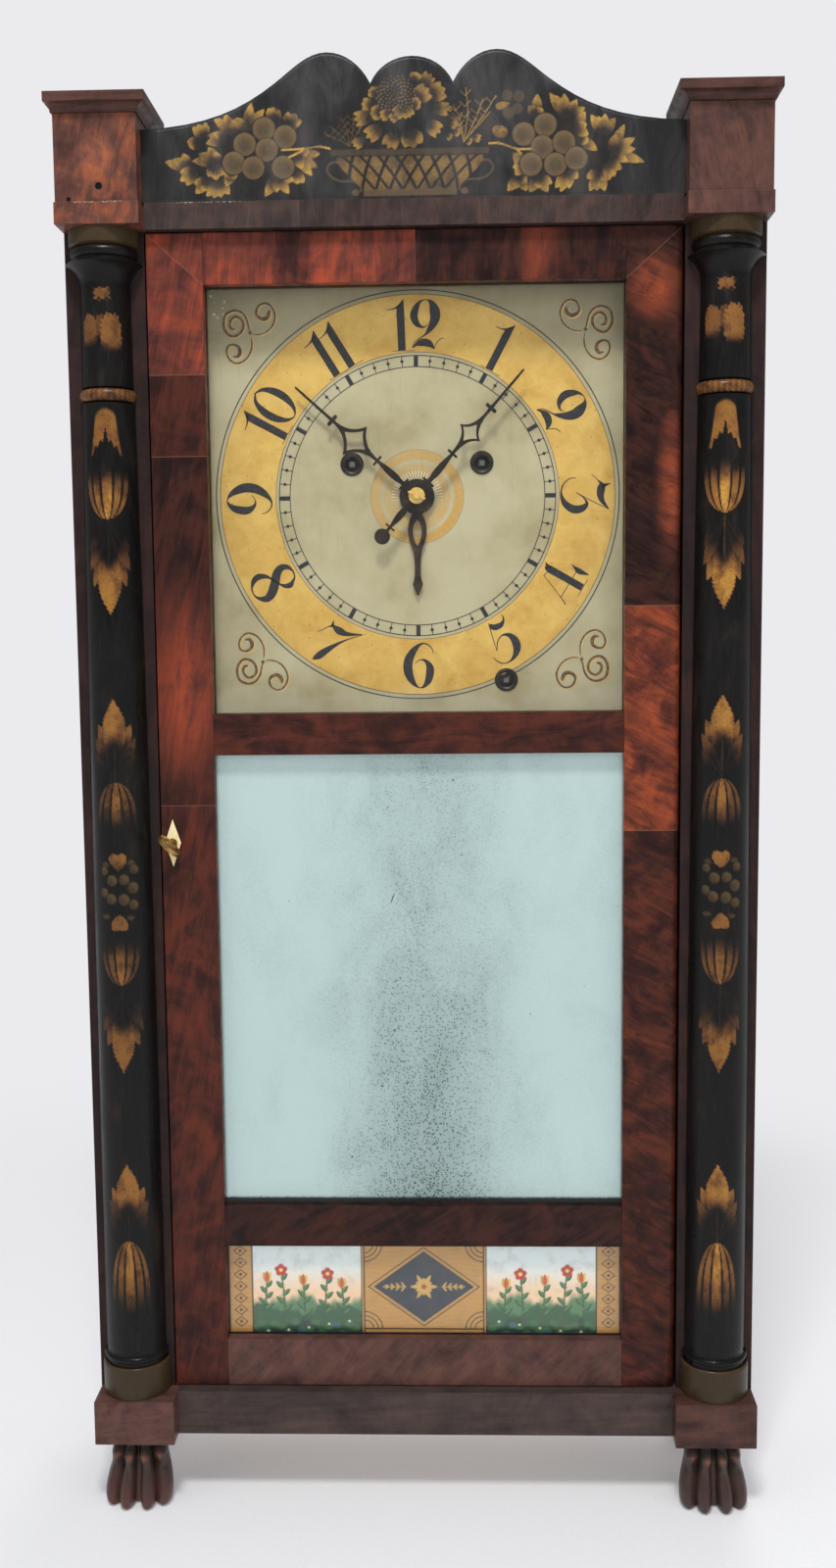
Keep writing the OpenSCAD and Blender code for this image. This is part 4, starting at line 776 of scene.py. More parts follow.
def add_hanging_cord(hand):
    """A weight's cord from its pulley down to a knot over the weight's eye: a round rope whose radius rises
    on three strands that wind along it."""
    low, high = (np.array(corner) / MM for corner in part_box("weight_cord_" + hand))
    middle = (low + high) / 2.0
    z = np.linspace(low[2], high[2], 420)[:, None]
    turn = np.linspace(0.0, CIRCLE, 12, endpoint=False)[None, :]
    knot = 0.8 * np.exp(-((z - low[2] - 2.2) / 1.3) ** 2)
    r = 0.64 + 0.14 * np.abs(np.cos(1.5 * turn + 1.9 * z)) + knot
    grid = np.stack([middle[0] + r * np.cos(turn), middle[1] - r * np.sin(turn), z + 0.0 * turn], -1)
    foot, top = (np.full((1, 12, 3), (middle[0], middle[1], end)) for end in (low[2], high[2]))
    piece = put("hanging_cord_" + hand, None, [(np.concatenate([foot, grid, top]), False, True)],
                twisted_cord("cord_" + hand), None, 60.0)
    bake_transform(piece)
    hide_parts("weight_cord_" + hand)


for hand, _ in SIDES:
    add_hanging_cord(hand)

# Dial


def brushed(name, size, detail, thick, thin, rough):
    """Brushed paint, worn thin in clouds. thick and thin are the ramp's two stops."""
    f = Finish(name)
    wear = f.noise(size, detail, 0.7)
    f.colour = f.ramp(wear, thick, thin)
    return f.surface(rough, 0.0, f.bump(wear, 0.05))


def gold_leaf(name, base, deep):
    """Gold size on paint: warm clouds, fine scratches round the dial and small dark flecks."""
    f = Finish(name)
    cloud = f.noise(16.0, 6.0, 0.62, 0.4)
    lines = f.noise((30.0, 30.0, 0.8), 4.0, 0.6)
    f.colour = f.ramp(cloud, (0.34, base), (0.66, deep))
    f.coat(f.span(lines, 0.5, 0.72, 0.0, 0.3), (214, 190, 116))
    f.coat(f.span(f.cells(6.0), 0.10, 0.05, 0.0, 0.6), (92, 66, 30))
    return f.surface(f.span(cloud, 0.3, 0.7, 0.34, 0.5), 0.2, f.bump(f.plus(cloud, lines), 0.06))


INK = brushed("dial_ink", 3.0, 5.0, (0.45, (26, 27, 33)), (0.70, (60, 54, 52)), 0.42)
SCROLL = brushed("scroll_brown", 2.0, 4.0, (0.40, (78, 56, 32)), (0.66, (140, 108, 66)), 0.5)
GOLD = gold_leaf("gold_leaf", (236, 196, 104), (212, 164, 72))
GOLD_PALE = gold_leaf("gold_leaf_pale", (236, 208, 138), (214, 172, 96))

# Radii on the dial: gilt ring, minute track with its dots, middle of the numerals, outer line.
GILT_INNER, GILT_OUTER = 92.3, 128.4
TRACK_INNER, TRACK_OUTER = 83.0, 90.0
DOT_INNER, DOT_MIDDLE, DOT_OUTER = 85.5, 86.7, 87.9
NUMERAL_R, BORDER_R = 109.6, 131.2

# Brush strokes of each digit: rows of x, z and half width in mm, from the middle of the digit.
DIGITS = {
    "0": [[(0.2, 14.7, 0.35), (-4.6, 11.4, 1.2), (-7.3, 4.2, 2.3), (-7.3, -4.2, 2.3), (-4.6, -11.4, 1.2),
           (0.0, -14.7, 0.35), (4.6, -11.4, 1.2), (7.3, -4.2, 2.3), (7.3, 4.2, 2.3), (4.6, 11.4, 1.2),
           (0.0, 14.7, 0.35), (-0.3, 14.6, 0.3)]],
    "1": [[(0.5, -16.3, 2.45), (0.0, -1.5, 2.45), (-0.3, 9.2, 2.45), (0.5, 12.6, 1.5), (1.7, 15.8, 0.2)],
          [(0.3, 13.0, 0.5), (-2.5, 10.9, 0.6), (-5.4, 9.7, 0.35), (-9.0, 9.2, 0.22)],
          [(-5.4, -16.6, 0.18), (8.6, -16.6, 0.18)]],
    "2": [[(1.4, 0.2, 0.2), (0.2, -1.5, 0.35), (-2.3, -1.7, 0.8), (-5.5, 0.6, 1.9), (-7.2, 5.2, 2.5),
           (-5.9, 10.1, 2.0), (-3.5, 13.8, 0.9), (-0.4, 15.3, 0.3), (1.7, 15.1, 0.4), (4.2, 13.2, 1.7),
           (6.0, 8.9, 3.2), (6.5, 4.6, 3.2), (5.1, 0.3, 2.6), (2.3, -4.0, 1.5), (-0.4, -6.9, 0.55),
           (-3.8, -8.9, 0.35), (-6.9, -11.3, 0.25), (-8.4, -14.5, 0.2)],
          [(-8.3, -15.0, 0.2), (-6.0, -12.8, 1.0), (-3.5, -11.8, 2.1), (-0.6, -11.4, 2.4),
           (2.3, -12.3, 2.2), (4.5, -14.1, 1.2), (5.6, -15.9, 0.2)],
          [(5.6, -15.9, 0.2), (7.2, -12.0, 0.25), (9.7, -9.5, 0.25), (12.1, -8.9, 0.2)]],
    "3": [[(-10.9, -6.5, 0.2), (-10.5, -10.5, 0.3), (-6.5, -14.8, 0.4), (-0.5, -16.0, 0.8),
           (5.5, -13.4, 2.0), (9.0, -8.2, 2.6), (8.6, -2.6, 2.3), (5.4, 0.6, 1.1), (1.5, -1.8, 0.35),
           (-1.7, -6.4, 0.2)],
          [(-1.7, -6.4, 0.2), (4.0, 4.0, 0.25), (9.2, 14.9, 0.2)],
          [(-13.0, 3.8, 0.2), (-9.5, 7.5, 0.3), (-7.4, 9.6, 1.1), (-4.5, 9.9, 2.5), (0.0, 9.4, 2.3),
           (4.5, 11.0, 1.4), (9.2, 14.9, 0.2)],
          [(-5.6, 10.5, 1.8), (-6.4, 13.0, 0.9), (-7.2, 16.2, 0.12)]],
    "4": [[(0.0, -13.2, 2.35), (0.0, 0.0, 2.35), (0.0, 11.6, 2.35), (0.9, 13.4, 1.4), (2.3, 15.8, 0.15)],
          [(-2.2, 11.4, 0.25), (-5.4, 12.7, 0.25)],
          [(-5.4, 12.7, 0.2), (-12.3, -4.1, 0.25), (-14.9, -9.2, 0.4)],
          [(-12.3, -4.2, 0.25), (8.2, -4.6, 0.25)],
          [(9.7, 0.6, 0.1), (8.8, -2.6, 0.9), (8.2, -6.0, 1.8), (8.6, -9.6, 1.1), (9.3, -13.0, 0.1)],
          [(-6.8, -13.6, 0.2), (6.0, -13.6, 0.2)]],
    "5": [[(-3.3, 15.3, 0.3), (-5.6, 6.0, 0.25), (-7.7, -3.4, 0.2)],
          [(-3.3, 14.0, 1.1), (-2.0, 11.6, 1.8), (0.4, 10.5, 2.0), (3.3, 10.4, 1.6), (5.9, 11.8, 0.8),
           (7.0, 14.0, 0.4), (6.6, 15.9, 0.15)],
          [(-7.7, -3.2, 0.25), (-4.4, 1.7, 0.35), (-0.7, 3.8, 0.4), (2.4, 3.4, 0.8), (4.9, 1.2, 1.6),
           (6.0, -3.0, 2.5), (5.1, -7.4, 2.6), (2.3, -10.8, 1.9), (-1.5, -12.9, 0.9), (-5.2, -13.3, 0.4),
           (-8.5, -12.0, 0.35), (-11.0, -8.8, 0.3), (-11.8, -5.8, 0.2)]],
    "6": [[(9.8, 7.8, 0.2), (8.7, 11.1, 0.3), (6.2, 13.7, 0.4), (3.3, 14.5, 0.5), (0.3, 13.4, 1.0),
           (-3.6, 9.4, 2.2), (-6.5, 3.9, 2.9), (-7.2, -2.0, 3.0), (-5.9, -7.2, 2.6), (-3.2, -11.8, 1.5),
           (0.3, -14.5, 0.35), (3.3, -13.7, 1.0), (6.2, -9.8, 2.2), (7.4, -4.6, 2.6), (7.3, -1.3, 2.4),
           (5.9, 1.6, 1.6), (3.6, 3.6, 0.8), (1.3, 3.8, 0.35), (-1.0, 2.7, 0.25), (-2.4, 1.3, 0.2)]],
    "7": [[(-14.2, 1.4, 0.2), (-11.6, 4.6, 0.25), (-9.9, 7.3, 0.3), (-7.0, 9.4, 0.9), (-2.2, 8.8, 2.4),
           (3.8, 9.6, 1.4), (13.0, 14.3, 0.15)],
          [(-7.3, 9.0, 1.2), (-8.6, 13.0, 0.15)],
          [(13.0, 14.3, 0.15), (5.8, 6.8, 0.4), (0.8, 0.2, 1.0), (-3.6, -7.4, 2.1), (-5.8, -12.0, 2.3),
           (-7.6, -14.8, 1.2), (-8.4, -16.0, 0.2)]],
    "8": [[(5.5, 11.5, 1.0), (3.4, 14.2, 0.5), (-0.6, 15.0, 0.6), (-4.4, 13.2, 1.5), (-6.0, 9.2, 2.3),
           (-4.0, 4.8, 2.8), (0.4, 0.8, 3.0), (4.6, -3.8, 3.0), (6.4, -8.6, 2.4), (4.0, -13.0, 1.2),
           (0.0, -15.0, 0.45), (-4.4, -14.2, 0.6)],
          [(-4.4, -14.2, 0.5), (-7.6, -10.8, 1.6), (-8.6, -6.6, 2.0), (-6.4, -2.2, 1.3), (-2.6, 0.6, 0.5),
           (1.4, 2.6, 0.4), (5.0, 5.2, 1.2), (6.6, 8.6, 1.8), (5.5, 11.5, 1.1)]],
}
DIGITS["9"] = [[(-u, -v, w) for u, v, w in DIGITS["6"][0]]]
# The digits of each hour, with how far each one stands beside the hour's line.
MARKS = {hour: ((str(hour), 0.0),) for hour in range(1, 10)}
MARKS.update({4: (("4", 2.0),), 5: (("5", 2.0),), 10: (("1", -8.6), ("0", 6.0)),
              11: (("1", -5.6), ("1", 5.6)), 12: (("1", -9.4), ("2", 6.2))})
# Strokes of one corner's scrolls, before each corner mirrors them.
DOUBLE_SCROLL = [(0.0, 0.5, 0.35), (-1.1, 4.6, 0.5), (-2.3, 9.7, 0.55), (-5.1, 14.3, 0.6),
                 (-9.7, 16.8, 0.65), (-14.3, 16.5, 0.7), (-18.8, 13.7, 0.75), (-20.5, 7.4, 0.8),
                 (-19.4, 2.3, 0.8), (-16.0, -1.7, 0.75), (-11.4, -2.0, 0.75), (-6.8, 1.1, 0.75),
                 (-5.1, 6.3, 0.8), (-6.8, 10.3, 0.7), (-10.8, 12.3, 0.7), (-14.3, 10.3, 0.75),
                 (-15.7, 6.3, 0.8), (-14.3, 3.4, 0.8), (-11.7, 2.9, 0.5)]
UPPER_SCROLL = [(2.3, -1.1, 0.2), (6.8, -1.4, 0.35), (12.5, 0.6, 0.4), (17.1, 5.1, 0.5), (19.4, 11.4, 0.55),
                (18.2, 17.1, 0.55), (14.8, 21.1, 0.55), (10.8, 22.0, 0.55), (6.8, 20.0, 0.6),
                (4.8, 15.4, 0.7), (6.3, 12.0, 0.9), (10.3, 10.3, 1.1), (13.7, 12.0, 1.2), (14.8, 15.4, 0.9),
                (14.3, 16.8, 0.3)]
LOWER_SCROLL = [(0.6, -2.9, 0.2), (1.1, -7.4, 0.4), (0.6, -12.5, 0.45), (-2.3, -18.2, 0.5),
                (-6.8, -21.7, 0.5), (-12.0, -22.5, 0.5), (-16.5, -19.4, 0.55), (-18.5, -14.3, 0.55),
                (-17.1, -9.7, 0.6), (-13.1, -8.6, 0.65), (-9.1, -10.8, 0.9), (-8.3, -14.8, 1.1),
                (-10.3, -17.7, 0.9), (-13.7, -17.4, 0.4)]
# Profile of a winding collar: radius and depth.
COLLAR = ((4.4, 7.0), (4.4, -8.2), (4.6, -9.1), (5.0, -9.5), (5.3, -9.6), (5.9, -10.2), (6.7, -10.3),
          (7.3, -9.9), (7.6, -9.3), (7.6, -9.0), (6.7, -8.99), (6.7, -5.0), (5.4, -4.0), (5.2, 7.0))
# Each corner's way out from the arbor in x and z, and its middle.
CORNERS = ((1, 1, -106.9, 105.7), (-1, 1, 109.2, 105.0), (1, -1, -103.0, -106.3), (-1, -1, 106.9, -106.3))


def placed(points, hour, slide):
    """A digit's points moved along its line by slide, put on the numeral ring and turned to its hour. From
    four to eight the feet point outwards."""
    p = np.array(points, float)
    turn = math.radians(30.0 * hour)
    flip = -1.0 if 4 <= hour <= 8 else 1.0
    u = (p[:, 0] + slide) * flip
    v = NUMERAL_R + p[:, 1] * flip
    x = u * math.cos(turn) + v * math.sin(turn)
    z = v * math.cos(turn) - u * math.sin(turn)
    return np.stack([x, DIAL_Z + z, p[:, 2]], 1)


def spoke(minute, *stops):
    """Points of a line out from the arbor towards a minute, one for each (radius, half width)."""
    turn = math.radians(6.0 * minute)
    return [(r * math.sin(turn), DIAL_Z + r * math.cos(turn), half) for r, half in stops]


def add_dial():
    """The dial's gilt ring, minute track, numerals and corner scrolls, each a thin coat on its face."""
    put("dial_gilt_ring", "case", [ring(GILT_INNER, GILT_OUTER, FACE - 0.09)], GOLD)
    lines = [ring(r - w, r + w, FACE - 0.13)
             for r, w in ((TRACK_INNER, 0.26), (TRACK_OUTER, 0.28), (BORDER_R, 0.34))]
    for minute in range(60):
        half = 1.4 if minute % 5 == 0 else 0.24
        lines += stroke(spoke(minute, (TRACK_INNER, half), (TRACK_OUTER, half)), FACE - 0.14)
        if minute % 5:
            dot_line = spoke(minute, (DOT_INNER, 0.15), (DOT_MIDDLE, 1.15), (DOT_OUTER, 0.15))
            lines += stroke(dot_line, FACE - 0.15, 3)
    put("minute_track", "case", lines, INK)
    digits = []
    for hour, row in MARKS.items():
        for digit, slide in row:
            for points in DIGITS[digit]:
                digits += stroke(placed(points, hour, slide), FACE - 0.17)
    put("dial_numerals", "case", digits, INK)
    scrolls = []
    glints = []
    for out_x, out_z, cx, cz in CORNERS:
        for points in (DOUBLE_SCROLL, UPPER_SCROLL, LOWER_SCROLL):
            p = np.array(points) * (out_x * 0.84, out_z * 0.84, 1.15) + (cx, DIAL_Z + cz, 0.0)
            scrolls += stroke(p, FACE - 0.15, 6)
            glints += stroke(p * (1.0, 1.0, 1.25) + (0.45, -0.5, 0.0), FACE - 0.08, 6)
        knot = [(cx + along, DIAL_Z + cz, half) for along, half in ((-1.2, 0.3), (0.0, 1.4), (1.2, 0.3))]
        scrolls += stroke(knot, FACE - 0.2, 4)
    edges = [ring(r - w, r + w, FACE - 0.13) for r, w in ((92.2, 0.16), (128.5, 0.2))]
    put("dial_scrolls", "case", scrolls + edges, SCROLL)
    put("dial_scroll_gilding", "case", glints, GOLD_PALE)


def add_winding_holes():
    """Each hole of the dial: a turned iron collar with a dished face and a sleeve that runs back from it, its
    profile of radius and depth swung round the arbor behind the hole."""
    turn = np.linspace(0.0, CIRCLE, 48, endpoint=False)
    shape = np.array(COLLAR)
    r, y = shape[:, :1], shape[:, 1:]
    collars = [(np.stack([cx + r * np.cos(turn), y + 0.0 * turn, cz - r * np.sin(turn)], -1), True, True)
               for cx, cz in ARBORS.values()]
    put("winding_collars", "case", collars, iron("collar_iron", (24, 23, 22), (70, 62, 48), 0.3, 0.04, 2.0))


add_dial()
add_winding_holes()

# Stencilled gilding

BRONZE = ((104, 68, 38), (148, 102, 50), (194, 146, 66))
BRASS = ((98, 74, 40), (150, 116, 54), (204, 164, 78))


def stencilled(name, seed, gloss, golds=BRONZE):
    """The black lacquer of the columns and the splat with bronze powder over it: the piece's own 'gilt' says
    how much gold lies on a point, 'fruit' how much of the dull olive of the fruit."""
    f = Finish(name)
    shift, rough, relief = black_ground(f, seed)
    speck = f.noise(1.1, 3.0, 0.7)
    rub = f.noise((9.0, 9.0, 12.0), 5.0, 0.65, shift=shift)
    gilt = f.times(f.attribute("gilt"), f.span(rub, 0.30, 0.58, 0.52, 1.0))
    gilt = f.times(gilt, f.span(speck, 0.28, 0.52, 0.70, 1.0))
    fruit = f.times(f.attribute("fruit"), f.span(speck, 0.25, 0.6, 0.7, 1.0))
    tint = f.ramp(gilt, (0.0, (54, 37, 27)), (0.4, golds[0]), (0.7, golds[1]), (1.0, golds[2]))
    f.coat(f.span(gilt, 0.03, 0.45), tint)
    f.coat(f.times(fruit, 0.85), (108, 86, 54))
    return f.surface(rough, f.span(gilt, 0.1, 0.8, 0.0, 0.25), relief, gloss)


def ease(value, low, high):
    """0 below low, 1 above high, smooth between."""
    t = np.clip((value - low) / (high - low), 0.0, 1.0)
    return t * t * (3.0 - 2.0 * t)


def most(*layers):
    """The greatest of several layers of paint at each point."""
    top = layers[0]
    for layer in layers[1:]:
        top = np.maximum(top, layer)
    return top


def blade(x, z, root, tip, half, bright=1.0, heart=0.35):
    """One lobe of a leaf: a lens round the line from root to tip, widest in the middle, dark at the root."""
    root, tip = np.array(root), np.array(tip)
    way = tip - root
    long = np.hypot(*way)
    s = ((x - root[0]) * way[0] + (z - root[1]) * way[1]) / long ** 2
    across = np.abs((x - root[0]) * way[1] - (z - root[1]) * way[0]) / long
    t = np.clip(s, 0.0, 1.0)
    wide = half * np.sin(math.pi * np.clip(t * 0.82 + 0.18, 0.0, 1.0)) ** 0.8
    inside = ease(wide - across, -0.25, 0.35) * ease(s, -0.1, 0.1) * ease(1.0 - s, -0.01, 0.04)
    return inside * bright * (heart + (1.0 - heart) * ease(s, 0.2, 0.85))


def leaf(x, z, heart, tips, half, bright):
    """A toothed leaf: one lobe from its heart to each tip, the brightest one showing."""
    return most(*[blade(x, z, heart, tip, half, bright, 0.22) for tip in tips])


def dot(x, z, cx, cz, rx, rz, turn=0.0, soft=0.35):
    """A filled ellipse with a soft edge."""
    c, s = math.cos(math.radians(turn)), math.sin(math.radians(turn))
    u = ((x - cx) * c + (z - cz) * s) / rx
    v = ((z - cz) * c - (x - cx) * s) / rz
    far = np.sqrt(u * u + v * v)
    return ease((1.0 - far) * min(rx, rz), -soft, soft)


def brush_line(x, z, points, half):
    """A brushed line: near enough to any stretch of the smooth curve through the points."""
    p = smooth(points, 6)
    near = np.full(x.shape, 1e9)
    for a, b in zip(p[:-1], p[1:]):
        way = b - a
        t = np.clip(((x - a[0]) * way[0] + (z - a[1]) * way[1]) / max(float(way @ way), 1e-9), 0.0, 1.0)
        near = np.minimum(near, np.hypot(x - a[0] - t * way[0], z - a[1] - t * way[1]))
    return ease(half - near, -0.3, 0.3)


def hairline(away, half, soft):
    """A thin line where away is less than half, with a soft edge."""
    return ease(half - np.abs(away), -soft, soft)


def pointed_leaf(u, z, root, tip, bright=1.0):
    """A leaf along the column: a broad pointed lobe at its tip with three pairs of lobes beside it, gilded
    towards their edges, over a dark heart with faint veins."""
    long = tip - root
    s = (z - root) / long
    ragged = 0.35 * np.sin(z * 2.3 + u * 0.9) + 0.25 * np.sin(z * 4.1 - u * 1.7)
    wide = 7.6 * np.interp(s, [0.30, 0.42, 0.55, 0.66, 0.74, 0.82, 0.89, 0.95, 1.0],
                           [0.90, 0.92, 0.97, 1.0, 0.93, 0.72, 0.45, 0.20, 0.0])
    inside = ease(wide + ragged - np.abs(u), -0.3, 0.5) * (s > 0.2) * (s < 1.0)
    heart = np.exp(-(u / 4.2) ** 2) * ease(0.66 - s, 0.0, 0.26)
    gold = 0.88 * inside * (1.0 - 0.8 * heart) * ease(s, 0.28, 0.62)
    for _, side in SIDES:
        for start, reach, far, half, share in ((0.28, 0.70, 11.0, 4.4, 0.72), (0.12, 0.54, 14.0, 4.2, 0.44),
                                               (0.02, 0.34, 14.0, 3.4, 0.24)):
            lobe = (side * 2.4, root + long * start), (side * far, root + long * reach)
            gold = most(gold, blade(u, z, *lobe, half, share, 0.1))
        for start, reach, far in ((0.06, 0.40, 6.5), (0.02, 0.24, 7.5)):
            vein = (0.0, root + long * start), (side * far, root + long * reach)
            gold = most(gold, blade(u, z, *vein, 0.5, 0.2, 0.9))
    rib = 0.26 * hairline(u, 0.5, 0.2) * ease(0.62 - s, 0.0, 0.1) * ease(s, -0.02, 0.02)
    return most(gold, rib) * bright


def patch(u, z, cu, cz, ru, rz):
    """A worn blot with square shoulders and a ragged edge."""
    far = (np.abs(u - cu) / ru) ** 2.6 + (np.abs(z - cz) / rz) ** 2.6
    return ease(1.0 - far + 0.22 * np.sin(u * 1.9 + z * 0.6) * np.sin(z * 1.1 - u * 0.5), 0.0, 0.35)


def melon(u, z, open_end, foot, half, bright):
    """A ribbed fruit: ribs bowed from foot to rim part five slices, brightest in the middle one, gilded near
    the foot and lost at the other end."""
    s = (z - open_end) / (foot - open_end)
    shape = half * np.sqrt(np.clip(1.0 - np.clip((s - 0.38) / 0.63, 0.0, 1.0) ** 2.1, 0.0, 1.0))
    inside = ease(shape - np.abs(u), -0.25, 0.45) * (s > -0.05) * (s < 1.02)
    share = np.abs(u) / np.maximum(shape, 0.3)
    ribs = most(hairline(share - 0.28, 0.05, 0.03), hairline(share - 0.70, 0.05, 0.03))
    slice_tone = np.where(share < 0.28, 1.0, np.where(share < 0.70, 0.70, 0.60))
    gold = (0.06 + 0.94 * ease(s, 0.15, 0.75)) * ease(s, -0.02, 0.25) * (1.0 - 0.92 * ribs) * slice_tone
    return inside * gold * bright


def heart_shape(u, z, cz, r, bright, up=1.0):
    """The heart curve: (a2 + b2 - 1) cubed is less than a2 times b cubed."""
    a, b = u / r, (z - cz) * up / r + 0.15
    return bright * ((a * a + b * b - 1.0) ** 3 - a * a * b ** 3 < 0.0)


# Columns

# A column's middle in x, the depth of its flat back and the height of its foot.
COLUMN_X, COLUMN_BACK, COLUMN_FOOT = 193.35, -39.0, 75.7
# Leaves and fruits of a column's stencil: height of root and tip, or of the open end and the foot, half width
# of a fruit, and how bright each is.
COLUMN_LEAVES = ((652.0, 593.0, 0.92), (487.0, 540.5, 0.84), (356.0, 297.5, 0.66), (183.0, 237.0, 0.82))
COLUMN_FRUITS = ((694.0, 653.0, 14.2, 1.0), (446.0, 487.0, 13.6, 0.62), (396.0, 356.0, 13.4, 0.62),
                 (118.0, 184.0, 13.8, 0.80))
# The cluster at the column's middle: berries (across, height, radius), and sprigs (across, height, up or
# down).
BERRIES = ((-4.2, 424.0, 3.4), (3.6, 424.5, 3.2), (9.4, 419.0, 3.6), (-5.0, 412.0, 3.3), (3.2, 411.5, 3.5),
           (9.6, 408.0, 3.0), (-10.0, 416.0, 2.8), (-9.6, 430.0, 2.6), (10.4, 431.0, 2.8))
SPRIGS = ((-8.0, 433.0, 1), (8.4, 434.0, 1), (-9.0, 402.0, -1), (7.0, 401.0, -1))


def column_gilding(u, z, gain):
    """The stencils of one column, over its height, and the olive of its berries."""
    ragged = 1.1 * np.sin(z * 1.9) * np.cos(u * 1.3 + z * 0.35)
    cap = ease(6.2 + ragged - np.abs(u), 0.0, 2.0) * ease(z + ragged * 1.6, 786.0, 788.5)
    gold = most(np.zeros_like(u), 0.50 * cap * ease(795.0 - z + ragged, 0.0, 2.0))
    for cu, cz, ru, rz, share in ((-9.0, 767.5, 6.0, 12.0, 0.46), (5.2, 766.0, 7.4, 14.0, 0.56),
                                  (-1.6, 770.0, 3.2, 9.0, 0.34)):
        gold = most(gold, share * patch(u, z, cu, cz, ru, rz) * ease(z - cz, -rz, -rz * 0.2))
    crown = ease(9.5 - np.abs(u) * (1.0 + 0.02 * (z - 700.0)), 0.0, 1.5) * ease(z, 688.0, 694.0)
    crown *= ease(723.0 - z - 0.096 * u * u, 0.0, 4.0)
    spikes = 699.5 + 6.4 * np.abs(np.mod(u / 3.4, 1.0) - 0.5) - 0.11 * u * u + 6.0 * np.exp(-(u / 1.2) ** 2)
    gold = most(gold, 0.62 * crown * ease(z - spikes, 0.0, 0.8))
    for root, tip, bright in COLUMN_LEAVES:
        gold = most(gold, pointed_leaf(u, z, root, tip, bright))
    for open_end, foot, half, bright in COLUMN_FRUITS:
        gold = most(gold, melon(u, z, open_end, foot, half, bright))
    gold = np.where((z > 396.0) & (z < 446.0), gold * 0.15, gold)
    fruit = np.zeros_like(u)
    for cu, cz, r in BERRIES:
        lit = 0.5 + 0.5 * ease(z - cz + u - cu, -3.0, 3.0)
        fruit = most(fruit, 0.62 * dot(u, z, cu, cz, r, r * 1.05) * lit)
    for cu, cz, side in SPRIGS:
        for k in range(1, 6):
            a = math.radians(30.0 * k) * side
            tip = (cu + 3.6 * math.cos(a), cz + 3.6 * math.sin(a))
            fruit = most(fruit, 0.5 * blade(u, z, (cu, cz), tip, 0.7, 1.0, 0.6))
    upper = heart_shape(u, z, 436.0, 5.1, 0.60) * (0.75 + 0.25 * ease(z, 430.0, 440.0))
    lower = heart_shape(u, z, 396.5, 5.0, 0.52, -1.0)
    halo = most(dot(u, z, 0.0, 436.0, 6.6, 6.4), dot(u, z, 0.0, 396.5, 6.4, 6.2))
    band = (z > 392.0) & (z < 448.0)
    gold = most(gold * (1.0 - halo * band), upper, lower)
    fruit = fruit * (1.0 - halo) * band
    return np.clip(gold * gain * ease(z, 60.0, 99.0), 0.0, 1.0), np.clip(fruit, 0.0, 1.0)


def column_turning():
    """Radius and height of the turned column, from its foot up, as the solid column has them: straight
    stretches, quarter and half rounds, and a shaft that tapers with the power 2.2 of its height."""
    def bend(cx, cz, r, a0, a1, steps):
        a = np.radians(np.linspace(a0, a1, steps + 1))
        return np.stack([cx + r * np.cos(a), cz + r * np.sin(a)], 1)
    top, ring_z = 754.6, 654.0
    c = top - 9.3
    t = np.linspace(0.0, 1.0, 13)
    shaft = np.stack([19.7 - 3.0 * t ** 2.2, 33.0 + (ring_z - 38.0) * t], 1)
    rows = np.concatenate([[(0.0, 0.0), (22.4, 0.0), (22.4, 20.0)], bend(20.4, 20.0, 2.0, 0, 90, 4),
                           [(19.9, 22.0)], bend(19.3, 26.5, 2.2, -80, 80, 6), [(19.3, 30.0)], shaft,
                           bend(13.6, ring_z, 4.4, -75, 75, 8), [(16.2, ring_z + 5.0), (15.6, top - 36.0)],
                           bend(31.5, top - 35.0, 16.0, 180, 118, 6), [(21.1, c - 9.0)],
                           bend(17.1, c - 5.0, 4.2, -50, 62, 6),
                           [(20.5, c - 1.0), (21.9, c), (21.9, top), (0.0, top)]])
    dense = []
    for a, b in zip(rows[:-1], rows[1:]):
        long = float(np.hypot(*(b - a)))
        flat_end = abs(float(b[1] - a[1])) < 1e-6 and long > 5.0
        count = 1 if flat_end else max(1, int(round(long / 0.85)))
        dense.append(a + (b - a) * np.linspace(0.0, 1.0, count, endpoint=False)[:, None])
    return np.concatenate(dense + [rows[-1:]])


def add_column(hand, side, gain, turn_to):
    """Half a turning: the profile swung half round in front of the stile, with a flat back."""
    rows = column_turning()
    a = np.linspace(0.0, math.pi, 84)
    r, h = rows[:, :1], rows[:, 1:]
    x = side * COLUMN_X + r * np.cos(a)
    y = COLUMN_BACK - r * np.sin(a)
    z = COLUMN_FOOT + h + 0.0 * a
    u = r * (math.pi / 2.0 - a) - turn_to
    gold, fruit = column_gilding(u, z, gain)
    ring_band = ease(z, 725.2, 726.6) * ease(734.0 - z, 0.0, 1.4)
    cap_band = ease(z, 822.0, 823.0) * 0.1
    drum_edge = ease(1.2 - np.abs(z - 97.0), 0.0, 1.0) * 0.25
    wear = np.sin(z * 0.9 + u * 0.4) * 0.1 + 0.9
    ring_gold = ring_band * (0.52 + 0.14 * np.sin(u * 1.7 + np.sin(z * 3.0))) * wear
    gold = most(gold, ring_gold, cap_band, drum_edge)
    # A grey-brown band of the olive on the foot drum and the capital: worn lacquer, and on the capital also a
    # painted sheen of its round.
    fruit = most(fruit, 0.32 * (ease(97.7 - z, 0.0, 0.5) + ease(z, 818.0, 820.0)))
    name = "turned_column_" + hand
    piece = put(name, "case", [(np.stack([x, y, z], -1), False, True)],
                stencilled(name + "_paint", 1.0 + side * 0.5, 0.2), {"gilt": [gold], "fruit": [fruit]}, 30.0)
    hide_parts("column_" + hand)


for (hand, side), gain, turn_to in zip(SIDES, (0.95, 1.1), (1.0, -2.0)):
    add_column(hand, side, gain, turn_to)

# Splat

